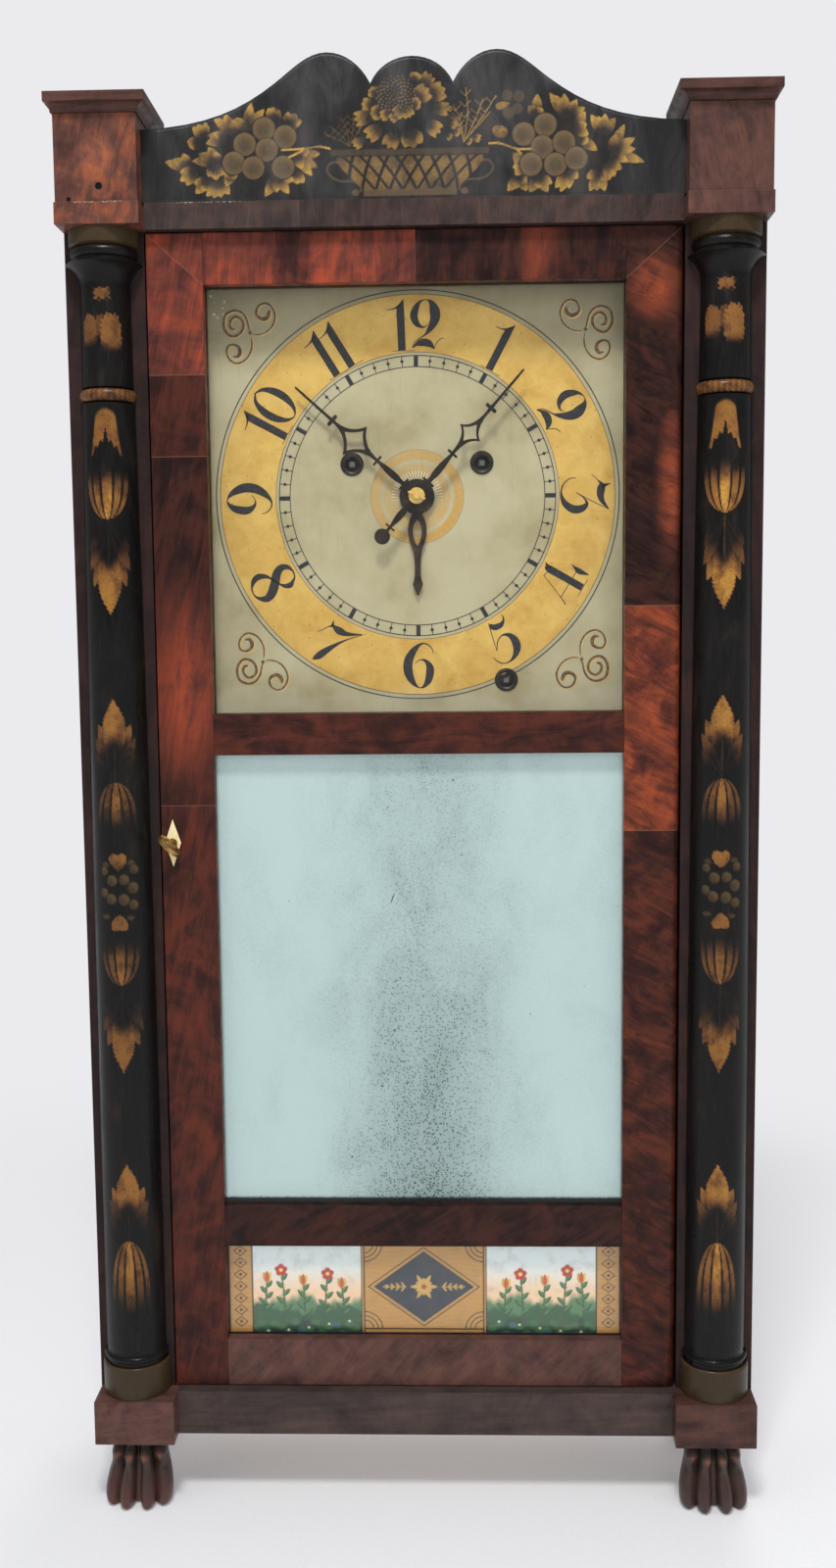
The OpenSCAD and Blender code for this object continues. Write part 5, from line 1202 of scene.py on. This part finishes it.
# Depth of the painting in front of the splat and of its turned-back rim, and the height where it starts.
SPLAT_FACE, SPLAT_RIM, SPLAT_FOOT = -45.88, -45.78, 847.3
BASKET_X = -1.5
# Each leaf's heart, then the tips of its lobes, in x and z.
SPLAT_LEAVES = (
    ((-109.5, 886.3), (-122.2, 896.5), (-115.1, 898.5), (-109.5, 895.3)),
    ((-101.6, 888.3), (-108.7, 896.0), (-98.4, 904.7), (-90.4, 900.7)),
    ((-84.9, 894.5), (-88.1, 901.3), (-84.9, 902.0), (-80.9, 900.0)),
    ((-76.1, 891.2), (-76.1, 899.0), (-70.6, 897.7), (-67.4, 893.1)),
    ((-127.8, 884.6), (-135.0, 890.9), (-131.8, 892.7), (-126.7, 893.6)),
    ((-115.1, 883.5), (-127.0, 880.9), (-125.4, 886.1), (-121.4, 887.4)),
    ((-132.6, 881.0), (-138.5, 882.7), (-137.8, 879.7)),
    ((-120.7, 870.2), (-135.8, 870.7), (-131.8, 875.0), (-125.4, 879.0), (-121.0, 876.2)),
    ((-138.1, 867.0), (-152.8, 870.5), (-147.7, 872.2), (-141.3, 875.6)),
    ((-133.4, 864.6), (-143.7, 864.2), (-143.7, 858.9), (-139.7, 856.1)),
    ((-127.0, 858.4), (-135.0, 857.1), (-134.2, 851.1), (-129.4, 852.4)),
    ((-119.1, 858.1), (-127.3, 849.4), (-123.0, 848.2), (-118.3, 848.4), (-112.7, 850.4)),
    ((-111.1, 863.8), (-115.9, 861.0), (-115.1, 855.3), (-109.5, 859.3)),
    ((-122.2, 866.5), (-126.2, 861.3), (-120.7, 858.9), (-115.1, 862.5)),
    ((-83.3, 860.7), (-91.2, 848.6), (-84.1, 850.9), (-76.1, 849.9), (-72.6, 858.1)),
    ((-71.4, 873.0), (-62.6, 875.7), (-56.3, 873.7), (-58.3, 865.4), (-61.5, 860.4), (-67.4, 864.6)),
    ((-72.2, 862.6), (-70.6, 855.7), (-66.6, 856.4)),
    ((75.9, 893.9), (71.1, 899.6), (76.7, 906.6), (80.2, 897.8)),
    ((94.4, 892.0), (83.9, 907.2), (87.9, 905.6), (92.8, 906.7), (100.8, 903.0), (105.9, 898.1)),
    ((100.0, 885.6), (105.9, 895.8), (106.9, 888.6), (108.0, 881.8)),
    ((116.8, 882.1), (109.1, 893.8), (113.6, 892.8), (118.0, 894.3), (124.2, 891.5)),
    ((121.7, 871.8), (124.6, 882.0), (129.7, 887.8), (136.4, 879.7), (136.8, 873.1), (142.2, 865.1),
     (132.1, 865.3)),
    ((102.4, 880.0), (113.3, 872.4), (108.0, 877.6)),
    ((119.3, 865.5), (128.4, 861.4), (124.1, 856.7), (120.4, 854.4)),
    ((114.4, 860.1), (106.4, 856.3), (108.5, 848.4), (112.8, 848.6), (118.0, 848.2), (119.3, 854.4)),
    ((96.0, 861.2), (101.6, 856.3), (96.0, 850.1), (90.7, 848.2), (87.3, 850.6)),
    ((77.5, 857.6), (71.6, 848.4), (77.5, 850.5), (83.1, 848.2), (85.8, 853.5)),
    ((65.5, 857.8), (58.2, 849.5), (63.0, 850.7), (70.3, 849.3), (70.3, 854.5)),
    ((68.7, 864.8), (61.4, 872.1), (62.2, 868.1), (61.4, 863.4), (63.0, 858.6)),
)
GRAPES = ((-91.0, 889.0), (-78.0, 884.0), (-103.0, 880.0), (-89.5, 876.5), (-110.0, 869.0), (-98.0, 866.0),
          (-79.5, 866.0), (68.3, 883.0), (81.5, 888.3), (79.6, 875.2), (92.8, 877.8), (72.7, 865.1),
          (87.6, 864.8), (100.3, 868.2))
# Petals of the full flower and of the buds beside it: middle in x and z, half width and half height.
PETALS = ((-27.5, 902.2, 2.8, 3.4), (-22.4, 897.0, 2.3, 4.7), (-16.5, 895.7, 2.6, 2.8),
          (-28.9, 894.6, 5.7, 3.4), (-10.9, 894.4, 2.8, 2.1), (-7.7, 897.4, 2.9, 3.6),
          (-2.6, 897.4, 2.9, 3.3), (3.3, 902.2, 1.8, 3.9), (6.6, 907.8, 2.5, 6.0), (9.3, 915.9, 2.6, 4.3),
          (2.4, 918.1, 3.3, 2.1), (15.8, 908.6, 4.1, 5.2), (18.1, 898.7, 4.2, 3.3), (22.2, 898.7, 2.0, 1.2),
          (-23.4, 885.8, 5.3, 3.1), (-12.8, 880.6, 4.4, 4.1), (0.1, 881.0, 6.9, 4.0),
          (13.0, 887.9, 5.1, 3.1), (25.0, 889.2, 2.3, 1.6), (27.7, 884.9, 1.8, 2.4), (22.7, 882.3, 1.8, 1.6),
          (39.3, 881.5, 2.6, 1.7), (35.1, 879.3, 1.2, 2.2), (-32.6, 879.9, 4.2, 1.0),
          (-24.3, 909.5, 1.5, 3.4))
# Stems: a stalk's foot, the tips of its sprays and how bright they are.
SPRAYS = (((-38.5, 877.5), ((-43.5, 895.0), (-36.0, 895.5), (-49.0, 888.5), (-53.0, 884.5),
                            (-31.0, 890.0)), 0.4),
          ((31.6, 879.0), ((33.0, 911.0), (43.5, 904.5), (51.5, 906.0), (25.5, 900.5), (26.5, 893.0),
                           (47.0, 895.5)), 0.72))
TENDRILS = (((-80.1, 876.3), (-68.2, 876.7), (-57.1, 877.8), (-50.7, 876.5)),
            ((-76.1, 871.7), (-66.6, 875.9)),
            ((47.3, 877.9), (54.2, 877.7), (63.8, 874.4), (73.5, 874.2)), ((66.7, 871.5), (63.0, 875.0)))
# One handle of the basket, out from its middle.
HANDLE = ((43.0, 868.0), (48.5, 868.0), (51.0, 864.0), (48.6, 859.9), (43.0, 857.2), (35.0, 856.9),
          (31.0, 854.3), (30.2, 850.9))


def flower_gilding(x, z):
    """The full flower and its buds: each petal is three lobes that fan out from the flower's middle, and the
    middle is a spiral of dots at the golden angle."""
    gold = np.zeros_like(x)
    for cx, cz, rx, rz in PETALS:
        way = math.atan2(cz - 900.0, cx + 4.0)
        near = math.hypot(rx * math.cos(way), rz * math.sin(way))
        across = math.hypot(rx * math.sin(way), rz * math.cos(way))
        heart = (cx - 1.05 * near * math.cos(way), cz - 1.05 * near * math.sin(way))
        for bend in (-0.8, 0.0, 0.8):
            a = way + bend * math.atan2(across, 1.6 * near)
            tip = (heart[0] + 2.35 * near * math.cos(a), heart[1] + 2.35 * near * math.sin(a))
            gold = most(gold, blade(x, z, heart, tip, 0.62 * across + 0.5, 0.78, 0.25))
    for k in range(104):
        out = 12.6 * math.sqrt((k + 0.5) / 104.0)
        cx, cz = -9.6 + out * math.cos(k * 2.39996), 907.2 + 0.95 * out * math.sin(k * 2.39996)
        r = 0.62 + 0.3 * math.fmod(k * 0.37, 1.0)
        if cz > 897.5:
            gold = most(gold, 0.50 * dot(x, z, cx, cz, r, r * 0.8, 0.0, 0.3))
    return gold


def stem_gilding(x, z):
    """Stalks with their sprays of short strokes, tendrils, and two single buds."""
    gold = 0.8 * dot(x, z, 53.9, 884.8, 5.0, 3.7, -18.0) * (0.55 + 0.45 * ease(z, 882.0, 888.0))
    gold = most(gold, 0.7 * blade(x, z, (51.2, 899.0), (60.0, 901.4), 2.4, 1.0, 0.8))
    for points in TENDRILS:
        gold = most(gold, 0.95 * brush_line(x, z, points, 0.75))
    for base, tips, bright in SPRAYS:
        for tip in tips:
            mid = ((base[0] + tip[0]) / 2 + (tip[1] - base[1]) * 0.06, (base[1] + tip[1]) / 2 + 1.0)
            gold = most(gold, bright * brush_line(x, z, (base, mid, tip), 0.36))
            for q in (0.45, 0.65, 0.85):
                cx, cz = base[0] + (tip[0] - base[0]) * q, base[1] + (tip[1] - base[1]) * q
                for end in ((cx + 3.2, cz + 3.4), (cx - 3.2, cz + 3.0)):
                    gold = most(gold, bright * brush_line(x, z, ((cx, cz), end), 0.3))
    return gold


def splat_gilding(x, z):
    """Gold and fruit of the splat: two clusters of grapes in toothed leaves, a lattice basket and a full
    flower."""
    gold = most(*[leaf(x, z, shape[0], shape[1:], 3.5, 0.86) for shape in SPLAT_LEAVES])
    haze = sum(0.16 * np.exp(-((x - cx) ** 2 + (z - cz) ** 2) / 130.0)
               for cx, cz in ((-112.0, 872.0), (-92.0, 890.0), (96.0, 888.0), (110.0, 870.0), (78.0, 858.0)))
    gold = most(gold, haze)
    fruit = np.zeros_like(x)
    for cx, cz in GRAPES:
        far = np.hypot(x - cx, z - cz)
        lit = 0.45 + 0.35 * ease(far, 2.0, 6.6) + 0.2 * ease(z - cz, -4.0, 5.0)
        ball = ease(6.9 - far, -0.3, 0.35) * lit
        rim = 0.6 * ease(0.7 - np.abs(far - 7.1), 0.0, 0.5)
        gold = gold * (1.0 - ease(7.4 - far, -0.3, 0.4))
        fruit = most(fruit * (1.0 - rim), ball)
    for cx, cz, r in ((58.2, 906.1, 3.2), (65.5, 905.2, 3.4), (59.0, 895.8, 3.6), (64.6, 898.1, 3.2)):
        fruit = most(fruit, 0.32 * dot(x, z, cx, cz, r, r))
    gold = most(gold, flower_gilding(x, z), stem_gilding(x, z))
    s = (z - 851.0) / 21.0
    away = np.abs(x - BASKET_X)
    half = 30.5 + 17.5 * np.clip(s, 0.0, 1.0) ** 0.85
    body = ease(half - away, 0.0, 0.8) * ease(s, 0.0, 0.04) * ease(1.0 - s, 0.0, 0.04)
    slope = (x - BASKET_X) / (1.0 + 0.30 * s) / 8.4
    net = np.minimum(*[np.abs(np.mod(slope + rise * s, 1.0) - 0.5) for rise in (1.31, -1.31)])
    cell = ease(net, 0.05, 0.15)
    basket = body * (0.10 + 0.46 * cell * (0.7 + 0.3 * ease(np.abs(s - 0.55), 0.5, 0.1)))
    rim = ease(49.0 - away, 0.0, 0.8) * ease(z, 871.8, 872.4) * ease(876.0 - z, 0.0, 0.6)
    foot = ease(29.0 - away, 0.0, 0.8) * ease(z, 847.6, 848.2) * ease(852.2 - z, 0.0, 0.6)
    gold = most(gold * (1.0 - body * 0.9), basket)
    fruit = most(fruit, 0.30 * rim, 0.62 * foot, 0.18 * body * cell)
    for _, side in SIDES:
        fruit = most(fruit, 0.5 * brush_line(x, z, [(BASKET_X + side * out, up) for out, up in HANDLE], 0.6),
                     0.6 * dot(x, z, BASKET_X + side * 33.5, 850.2, 2.3, 2.0))
    grain = 0.5 + 0.5 * np.sin(x * 11.3 + 3.0 * np.sin(z * 1.7)) * np.sin(z * 9.1 + 2.0 * np.cos(x * 1.3))
    return np.clip(gold * (0.86 + 0.2 * grain), 0.0, 1.0), np.clip(fruit, 0.0, 1.0)


def splat_top(x):
    """Height of the splat's scrolled edge over a place x: four cubic Bezier stretches, mirrored at the
    middle."""
    def bend(p0, p1, p2, p3):
        t = np.linspace(0.0, 1.0, 24)[:, None]
        p0, p1, p2, p3 = (np.array(p) * (167.4, 86.7) for p in (p0, p1, p2, p3))
        return (1 - t) ** 3 * p0 + 3 * (1 - t) ** 2 * t * p1 + 3 * (1 - t) * t * t * p2 + t ** 3 * p3
    edge = np.concatenate([bend((1.0, 0.5), (0.747, 0.513), (0.621, 0.631), (0.502, 0.797)),
                           bend((0.502, 0.797), (0.436, 0.89), (0.382, 1.0), (0.311, 1.0)),
                           bend((0.311, 1.0), (0.245, 1.0), (0.185, 0.913), (0.151, 0.785)),
                           bend((0.151, 0.785), (0.125, 0.896), (0.066, 0.965), (0.0, 0.965))])[::-1]
    return 846.5 + np.interp(np.abs(x), edge[:, 0], edge[:, 1])


def add_splat_painting():
    """A thin skin over the front of the splat, from its foot to just under its edge, turned back at the
    rim."""
    x = np.linspace(-158.0, 150.0, 560)
    top = splat_top(x) - 1.2
    s = np.linspace(0.0, 1.0, 134)[None, :]
    z = SPLAT_FOOT + (top[:, None] - SPLAT_FOOT) * s
    x = x[:, None] + 0.0 * s
    y = np.full_like(x, SPLAT_RIM)
    y[1:-1, 1:-1] = SPLAT_FACE
    gold, fruit = splat_gilding(x, z)
    put("splat_painting", "case", [np.stack([x, y, z], -1)], stencilled("splat_paint", 3.0, 0.8, BRASS),
        {"gilt": [gold], "fruit": [fruit]})


add_splat_painting()

# Tablet

# The tablet's half width and its low and high edge, the middle of its height, and the front of its paint.
TABLET_HALF, TABLET_LOW, TABLET_HIGH = 134.0, 106.8, 175.2
TABLET_Z = 140.95
PAINT_FACE = -28.98
# Half width of the gold panel in the middle, and of the space inside its border.
PANEL_HALF, BORDER_HALF = 42.0, 40.2
# Sprays of flowers: way out from the middle, height of the stem and how far it leans outwards.
FLOWERS = ((54.0, 24.0, 1.5), (67.0, 33.0, -2.0), (80.5, 27.0, 1.0), (94.0, 34.0, 2.5), (107.5, 25.0, -1.5))


def tablet_colours(x, z):
    """Red, green and blue of the painted glass: gold panels at both ends and in the middle, where a dark
    lozenge holds a rosette, and between them flowering sprays under a pale sky over a green bank."""
    ground = np.zeros(x.shape + (3,)) + np.array(linear(236, 246, 246)[:3])

    def coat(share, *colour):
        """Lays a screen colour over the ground, as strongly as share says."""
        ground[...] += (np.array(linear(*colour)[:3]) - ground) * share[..., None]

    h = (z - 108.5) / 64.9
    wave = 0.045 * np.sin(x * 0.13) + 0.03 * np.sin(x * 0.31 + 1.0) + 0.015 * np.sin(x * 0.9)
    coat(ease(h, 0.80, 0.40), 252, 214, 176)
    coat(ease(0.36 + wave - h, -0.05, 0.06), 92, 138, 96)
    coat(ease(0.27 - wave - h, -0.02, 0.04), 48, 96, 62)
    coat(ease(0.10 + wave - h, -0.03, 0.05), 30, 66, 48)
    for _, side in SIDES:
        for k, (at, tall, lean) in enumerate(FLOWERS):
            cx, foot, lean = side * at, 119.0 + 2.5 * math.sin(at), side * lean
            bx, bz = cx + lean, foot + tall
            stem = (cx, foot), (cx + lean * 0.3, foot + tall * 0.5), (bx, bz)
            coat(brush_line(x, z, stem, 0.5), 38, 84, 52)
            for q, turn in ((0.16, 1), (0.32, -1), (0.48, 1), (0.64, -1), (0.80, 1)):
                lx, lz = cx + lean * q, foot + tall * q
                reach = (6.2 - 3.0 * q) * turn
                coat(blade(x, z, (lx, lz), (lx + reach, lz + 4.6), 1.7, 1.0, 1.0), 40, 96, 58)
                coat(blade(x, z, (lx, lz + 0.6), (lx + reach * 0.8, lz + 4.4), 0.6, 0.8, 0.8), 120, 164, 92)
            if k % 2:
                for turn in range(5):
                    a = math.radians(90.0 + 72.0 * turn)
                    coat(dot(x, z, bx + 2.5 * math.cos(a), bz + 2.5 * math.sin(a), 1.9, 1.9), 196, 52, 44)
                coat(dot(x, z, bx, bz, 1.3, 1.3), 240, 214, 110)
            else:
                coat(blade(x, z, (bx, bz - 1.5), (bx - 2.4, bz + 5.5), 1.9, 1.0, 1.0), 214, 168, 70)
                coat(blade(x, z, (bx, bz - 1.5), (bx + 2.4, bz + 5.5), 1.9, 1.0, 1.0), 232, 196, 104)
                coat(blade(x, z, (bx, bz - 1.5), (bx, bz + 6.4), 1.6, 1.0, 1.0), 204, 92, 52)
        for k in range(16):
            cx = side * (46.0 + 4.6 * k)
            cz = 112.0 + 4.0 * math.sin(2.3 * k)
            coat(0.8 * dot(x, z, cx, cz, 3.0, 2.2, 0.0, 0.8), 66, 122, 74)
            if k % 3 == 1:
                coat(dot(x, z, cx, cz + 1.6, 0.8, 0.8), 238, 236, 224)
            if k % 5 == 3:
                coat(dot(x, z, cx, cz - 1.0, 1.9, 1.0), 54, 92, 170)
    away, rise = np.abs(x), np.abs(z - TABLET_Z)
    panel = most(ease(PANEL_HALF - away, -0.1, 0.3), ease(away - 116.0, -0.1, 0.3))
    brush = 0.5 + 0.5 * np.sin(z * 1.9 + np.sin(x * 0.21) * 2.0)
    coat(panel, 206, 156, 84)
    coat(panel * brush * 0.25, 178, 124, 62)
    inside = away < BORDER_HALF
    lozenge = away / 34.0 + rise / 25.0
    lines = most(*[hairline(away - at, 0.42, 0.15) for at in (PANEL_HALF, 116.0, BORDER_HALF)])
    lines = most(lines, *[hairline(z - at, 0.42, 0.15) * inside for at in (111.3, 170.6)])
    lines = most(lines, hairline(lozenge - 1.10, 0.018, 0.008) * (away < 40.0))
    corner = np.hypot(away - BORDER_HALF, rise - 29.65)
    for r in (6.0, 9.0, 12.0):
        lines = most(lines, hairline(corner - r, 0.36, 0.15) * inside * (rise < 29.65))
    for k in range(7):
        fz = 116.0 + 8.3 * k
        lines = most(lines, hairline(np.abs(away - 124.0) / 1.25 + np.abs(z - fz) - 3.4, 0.4, 0.2),
                     dot(away, z, 124.0, fz, 1.0, 1.0))
    coat(lines, 62, 42, 28)
    coat(ease(1.0 - lozenge, -0.004, 0.012), 46, 54, 66)
    for k in range(12):
        a = math.radians(30.0 * k)
        root, tip = [(r * math.cos(a), TABLET_Z + r * math.sin(a)) for r in (0.9, 6.4 if k % 2 else 9.5)]
        coat(blade(x, z, root, tip, 1.5, 1.0, 1.0), 214, 172, 96)
    coat(dot(x, z, 0.0, TABLET_Z, 1.7, 1.7), 168, 78, 48)
    for _, side in SIDES:
        for k in range(4):
            lx = side * (13.0 + 3.6 * k)
            for up in (-1.0, 1.0):
                tip = (lx + side * 2.6, TABLET_Z + up * (3.6 - 0.7 * k))
                coat(blade(x, z, (lx, TABLET_Z), tip, 0.75, 1.0, 1.0), 204, 164, 92)
        stem = ease(side * x, 11.5, 12.0) * ease(28.0 - side * x, 0.0, 0.5)
        coat(hairline(z - TABLET_Z, 0.3, 0.15) * stem, 204, 164, 92)
    coat(0.85 * most(ease(away - 130.6, 0.0, 1.2), ease(rise - 31.4, 0.0, 1.0)), 38, 52, 96)
    return ground


def add_tablet():
    """The paint on the back of the tablet's glass, a thin coat with its own colour at each point."""
    f = Finish("tablet_paint")
    mixed = f.node("CombineColor")
    for socket, name in zip(mixed.inputs, ("red", "green", "blue")):
        f.feed(socket, f.attribute(name))
    f.colour = mixed.outputs[0]
    f.coat(f.span(f.noise(9.0, 5.0, 0.65), 0.45, 0.72, 0.0, 0.22), (120, 104, 78))
    f.coat(f.span(f.axes()[1], -28.96, -28.93), (70, 58, 46))
    f.surface(0.3, 0.0, None, 0.4)
    x, z = np.meshgrid(np.linspace(-TABLET_HALF, TABLET_HALF, 560), np.linspace(TABLET_LOW, TABLET_HIGH, 144),
                       indexing="ij")
    colours = tablet_colours(x, z)
    front = np.stack([x, np.full_like(x, PAINT_FACE), z], -1)
    bx, bz = np.meshgrid([TABLET_HALF, -TABLET_HALF], [TABLET_LOW, TABLET_HIGH], indexing="ij")
    back = np.stack([bx, np.full_like(bx, PAINT_FACE + 0.08), bz], -1)
    shades = {key: [colours[..., k], np.full((2, 2), 0.1)] for k, key in enumerate(("red", "green", "blue"))}
    put("tablet_painting", "door", [front, back], f.material, shades)


add_tablet()

# Feet

# A paw's middle in x and y, the depth of its heel, and how deep a toe is.
PAW_X, PAW_Y, HEEL_Y, TOE_DEEP = 191.9, -42.0, -24.7, 8.6
# Height, places of the outer and inner toes, half width of a toe, fronts of the inner and outer toes, half
# width and front of the palm.
PAW_ROWS = ((46.0, 12.8, 4.4, 4.1, -53.5, -49.0, 15.0, -49.0),
            (41.0, 13.2, 4.5, 4.2, -54.6, -50.0, 15.2, -49.8),
            (37.5, 13.7, 4.7, 4.5, -57.0, -52.4, 15.6, -51.0),
            (34.5, 14.0, 4.9, 4.7, -58.8, -54.2, 16.0, -52.0),
            (31.0, 14.4, 5.1, 4.4, -58.2, -53.4, 16.2, -52.0),
            (26.0, 15.2, 5.6, 4.2, -57.4, -52.4, 16.8, -51.0),
            (20.0, 16.2, 6.3, 4.8, -59.6, -54.6, 18.0, -52.0),
            (13.0, 17.0, 6.8, 5.3, -62.8, -57.6, 18.8, -54.0),
            (7.0, 17.2, 7.0, 5.2, -64.8, -59.4, 18.8, -55.0),
            (3.2, 17.0, 7.0, 4.7, -64.6, -59.0, 18.0, -54.6),
            (1.0, 16.7, 6.9, 3.8, -63.2, -57.6, 17.2, -53.4),
            (0.0, 16.4, 6.8, 2.8, -61.4, -55.8, 16.4, -52.0))


def add_paw(hand, side, tint):
    """A carved paw. Its outline at each height is the farthest reach, seen from the middle, of four toes and
    the palm, each an ellipse there."""
    rows = smooth(PAW_ROWS)
    rows[:, 0] = np.clip(rows[:, 0], 0.0, PAW_TOP)
    turn = np.linspace(0.0, CIRCLE, 264, endpoint=False)[None, :]
    dx, dy = np.cos(turn), np.sin(turn)

    def reach(cx, cy, rx, ry):
        """How far a ray from the middle goes to leave the ellipse: the greater root of a square equation."""
        a = (dx / rx) ** 2 + (dy / ry) ** 2
        b = dx * cx / rx ** 2 + dy * (cy - PAW_Y) / ry ** 2
        c = (cx / rx) ** 2 + ((cy - PAW_Y) / ry) ** 2 - 1.0
        root = b * b - a * c
        return np.where(root > 0.0, np.maximum(b + np.sqrt(np.maximum(root, 0.0)), 0.0) / a, 0.0)

    height, outer, inner, half, front, far_front, palm, palm_front = (rows[:, k:k + 1] for k in range(8))
    toes = [reach(where, face + TOE_DEEP, half, TOE_DEEP)
            for where, face in ((-outer, far_front), (-inner, front), (inner, front), (outer, far_front))]
    heel = reach(0.0, (palm_front + HEEL_Y) / 2.0, palm, (HEEL_Y - palm_front) / 2.0)
    stack = np.sort(np.stack(toes), axis=0)
    far = (sum(t ** 40.0 for t in toes) + heel ** 40.0) ** (1.0 / 40.0)
    # The crease where two toes nearly meet, which takes painted shade.
    groove = ease(1.9 - (stack[-1] - stack[-2]), 0.0, 1.9) * (stack[-2] > 1.0)
    x, y = far * dx, PAW_Y + far * dy
    bulge = np.exp(-((height - 34.0) / 2.9) ** 2)
    knuckle = most(*[bulge * np.exp(-((x - where) / 2.2) ** 2) * (y < -46.0)
                     for where in (-outer, -inner, inner, outer)])
    grid = np.stack([side * PAW_X + x, y, height + 0.0 * x], -1)
    top, sole = (np.full((1, 264, 3), (side * PAW_X, PAW_Y, z)) for z in (PAW_TOP, 0.0))
    ends = np.zeros((1, 264))
    shades = {"groove": [np.concatenate([ends, groove, ends])],
              "knuckle": [np.concatenate([ends, knuckle, ends])]}
    piece = put("carved_paw_" + hand, "case", [(np.concatenate([top, grid, sole]), False, True)],
                carved("carved_foot_" + hand, tint), shades, 60.0)
    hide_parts("paw_foot_" + hand)


for (hand, side), tint in zip(SIDES, ((82, 50, 44), (62, 45, 41))):
    add_paw(hand, side, tint)

# Floor and sky

SKY = (0.83, 0.83, 0.855, 1.0)
SKY_LIGHT = (0.95, 0.97, 1.0, 1.0)
FLOOR_RINGS = (0.6, 1.2, 3.0, 12.0)
FLOOR_CORNERS = 96


def add_floor():
    """A disc, pale and shadowed near the clock and glowing like the sky far from it."""
    f = Finish("floor_pale")
    x, y, _ = f.axes()
    near = f.node("BsdfDiffuse")
    fine = f.span(f.noise(3.0, 3.0, 0.6), 0.4, 0.6)
    f.feed(near.inputs["Color"], f.mix(fine, (0.90, 0.90, 0.92, 1.0), (0.92, 0.92, 0.94, 1.0)))
    glow = f.node("Emission")
    glow.inputs["Color"].default_value = SKY
    f.blended(f.span(f.far(x, y), 480.0, 1100.0, 0.20, 1.0), near.outputs[0], glow.outputs[0])
    n = FLOOR_CORNERS
    turn = np.linspace(0.0, CIRCLE, n, endpoint=False)
    rings = [np.stack([r * np.cos(turn), r * np.sin(turn), 0.0 * turn], -1) for r in FLOOR_RINGS]
    verts = np.concatenate([[[0.0, 0.0, 0.0]], *rings])
    i = np.arange(n)
    j = (i + 1) % n
    faces = np.stack([0 * i, 1 + i, 1 + j], 1).tolist()
    for first in range(1, 1 + n * (len(FLOOR_RINGS) - 1), n):
        faces += np.stack([first + i, first + n + i, first + n + j, first + j], 1).tolist()
    mesh = bpy.data.meshes.new("floor")
    mesh.from_pydata(verts.tolist(), [], faces)
    mesh.materials.append(f.material)
    floor = bpy.data.objects.new("floor", mesh)
    bpy.context.scene.collection.objects.link(floor)


def add_sky():
    """Pale for what the camera sees, dimmer for what metal or glass reflects, softer still as light."""
    world = bpy.data.worlds.new("sky")
    world.use_nodes = True
    tree = world.node_tree
    tree.nodes.clear()
    path = tree.nodes.new("ShaderNodeLightPath")
    seen = tree.nodes.new("ShaderNodeMath")
    seen.operation = "MAXIMUM"
    tree.links.new(path.outputs["Is Camera Ray"], seen.inputs[0])
    tree.links.new(path.outputs["Is Transmission Ray"], seen.inputs[1])
    shaders = []
    for colour, strength in ((SKY_LIGHT, 0.36), (SKY, 0.36), (SKY, 1.0)):
        made = tree.nodes.new("ShaderNodeBackground")
        made.inputs["Color"].default_value = colour
        made.inputs["Strength"].default_value = strength
        shaders.append(made.outputs[0])
    light = shaders[0]
    for share, shader in ((path.outputs["Is Glossy Ray"], shaders[1]), (seen.outputs[0], shaders[2])):
        mixed = tree.nodes.new("ShaderNodeMixShader")
        for socket, source in zip(mixed.inputs, (share, light, shader)):
            tree.links.new(source, socket)
        light = mixed.outputs[0]
    made = tree.nodes.new("ShaderNodeOutputWorld")
    tree.links.new(light, made.inputs["Surface"])
    bpy.context.scene.world = world


add_floor()
add_sky()
bpy.context.scene.view_settings.view_transform = "Standard"
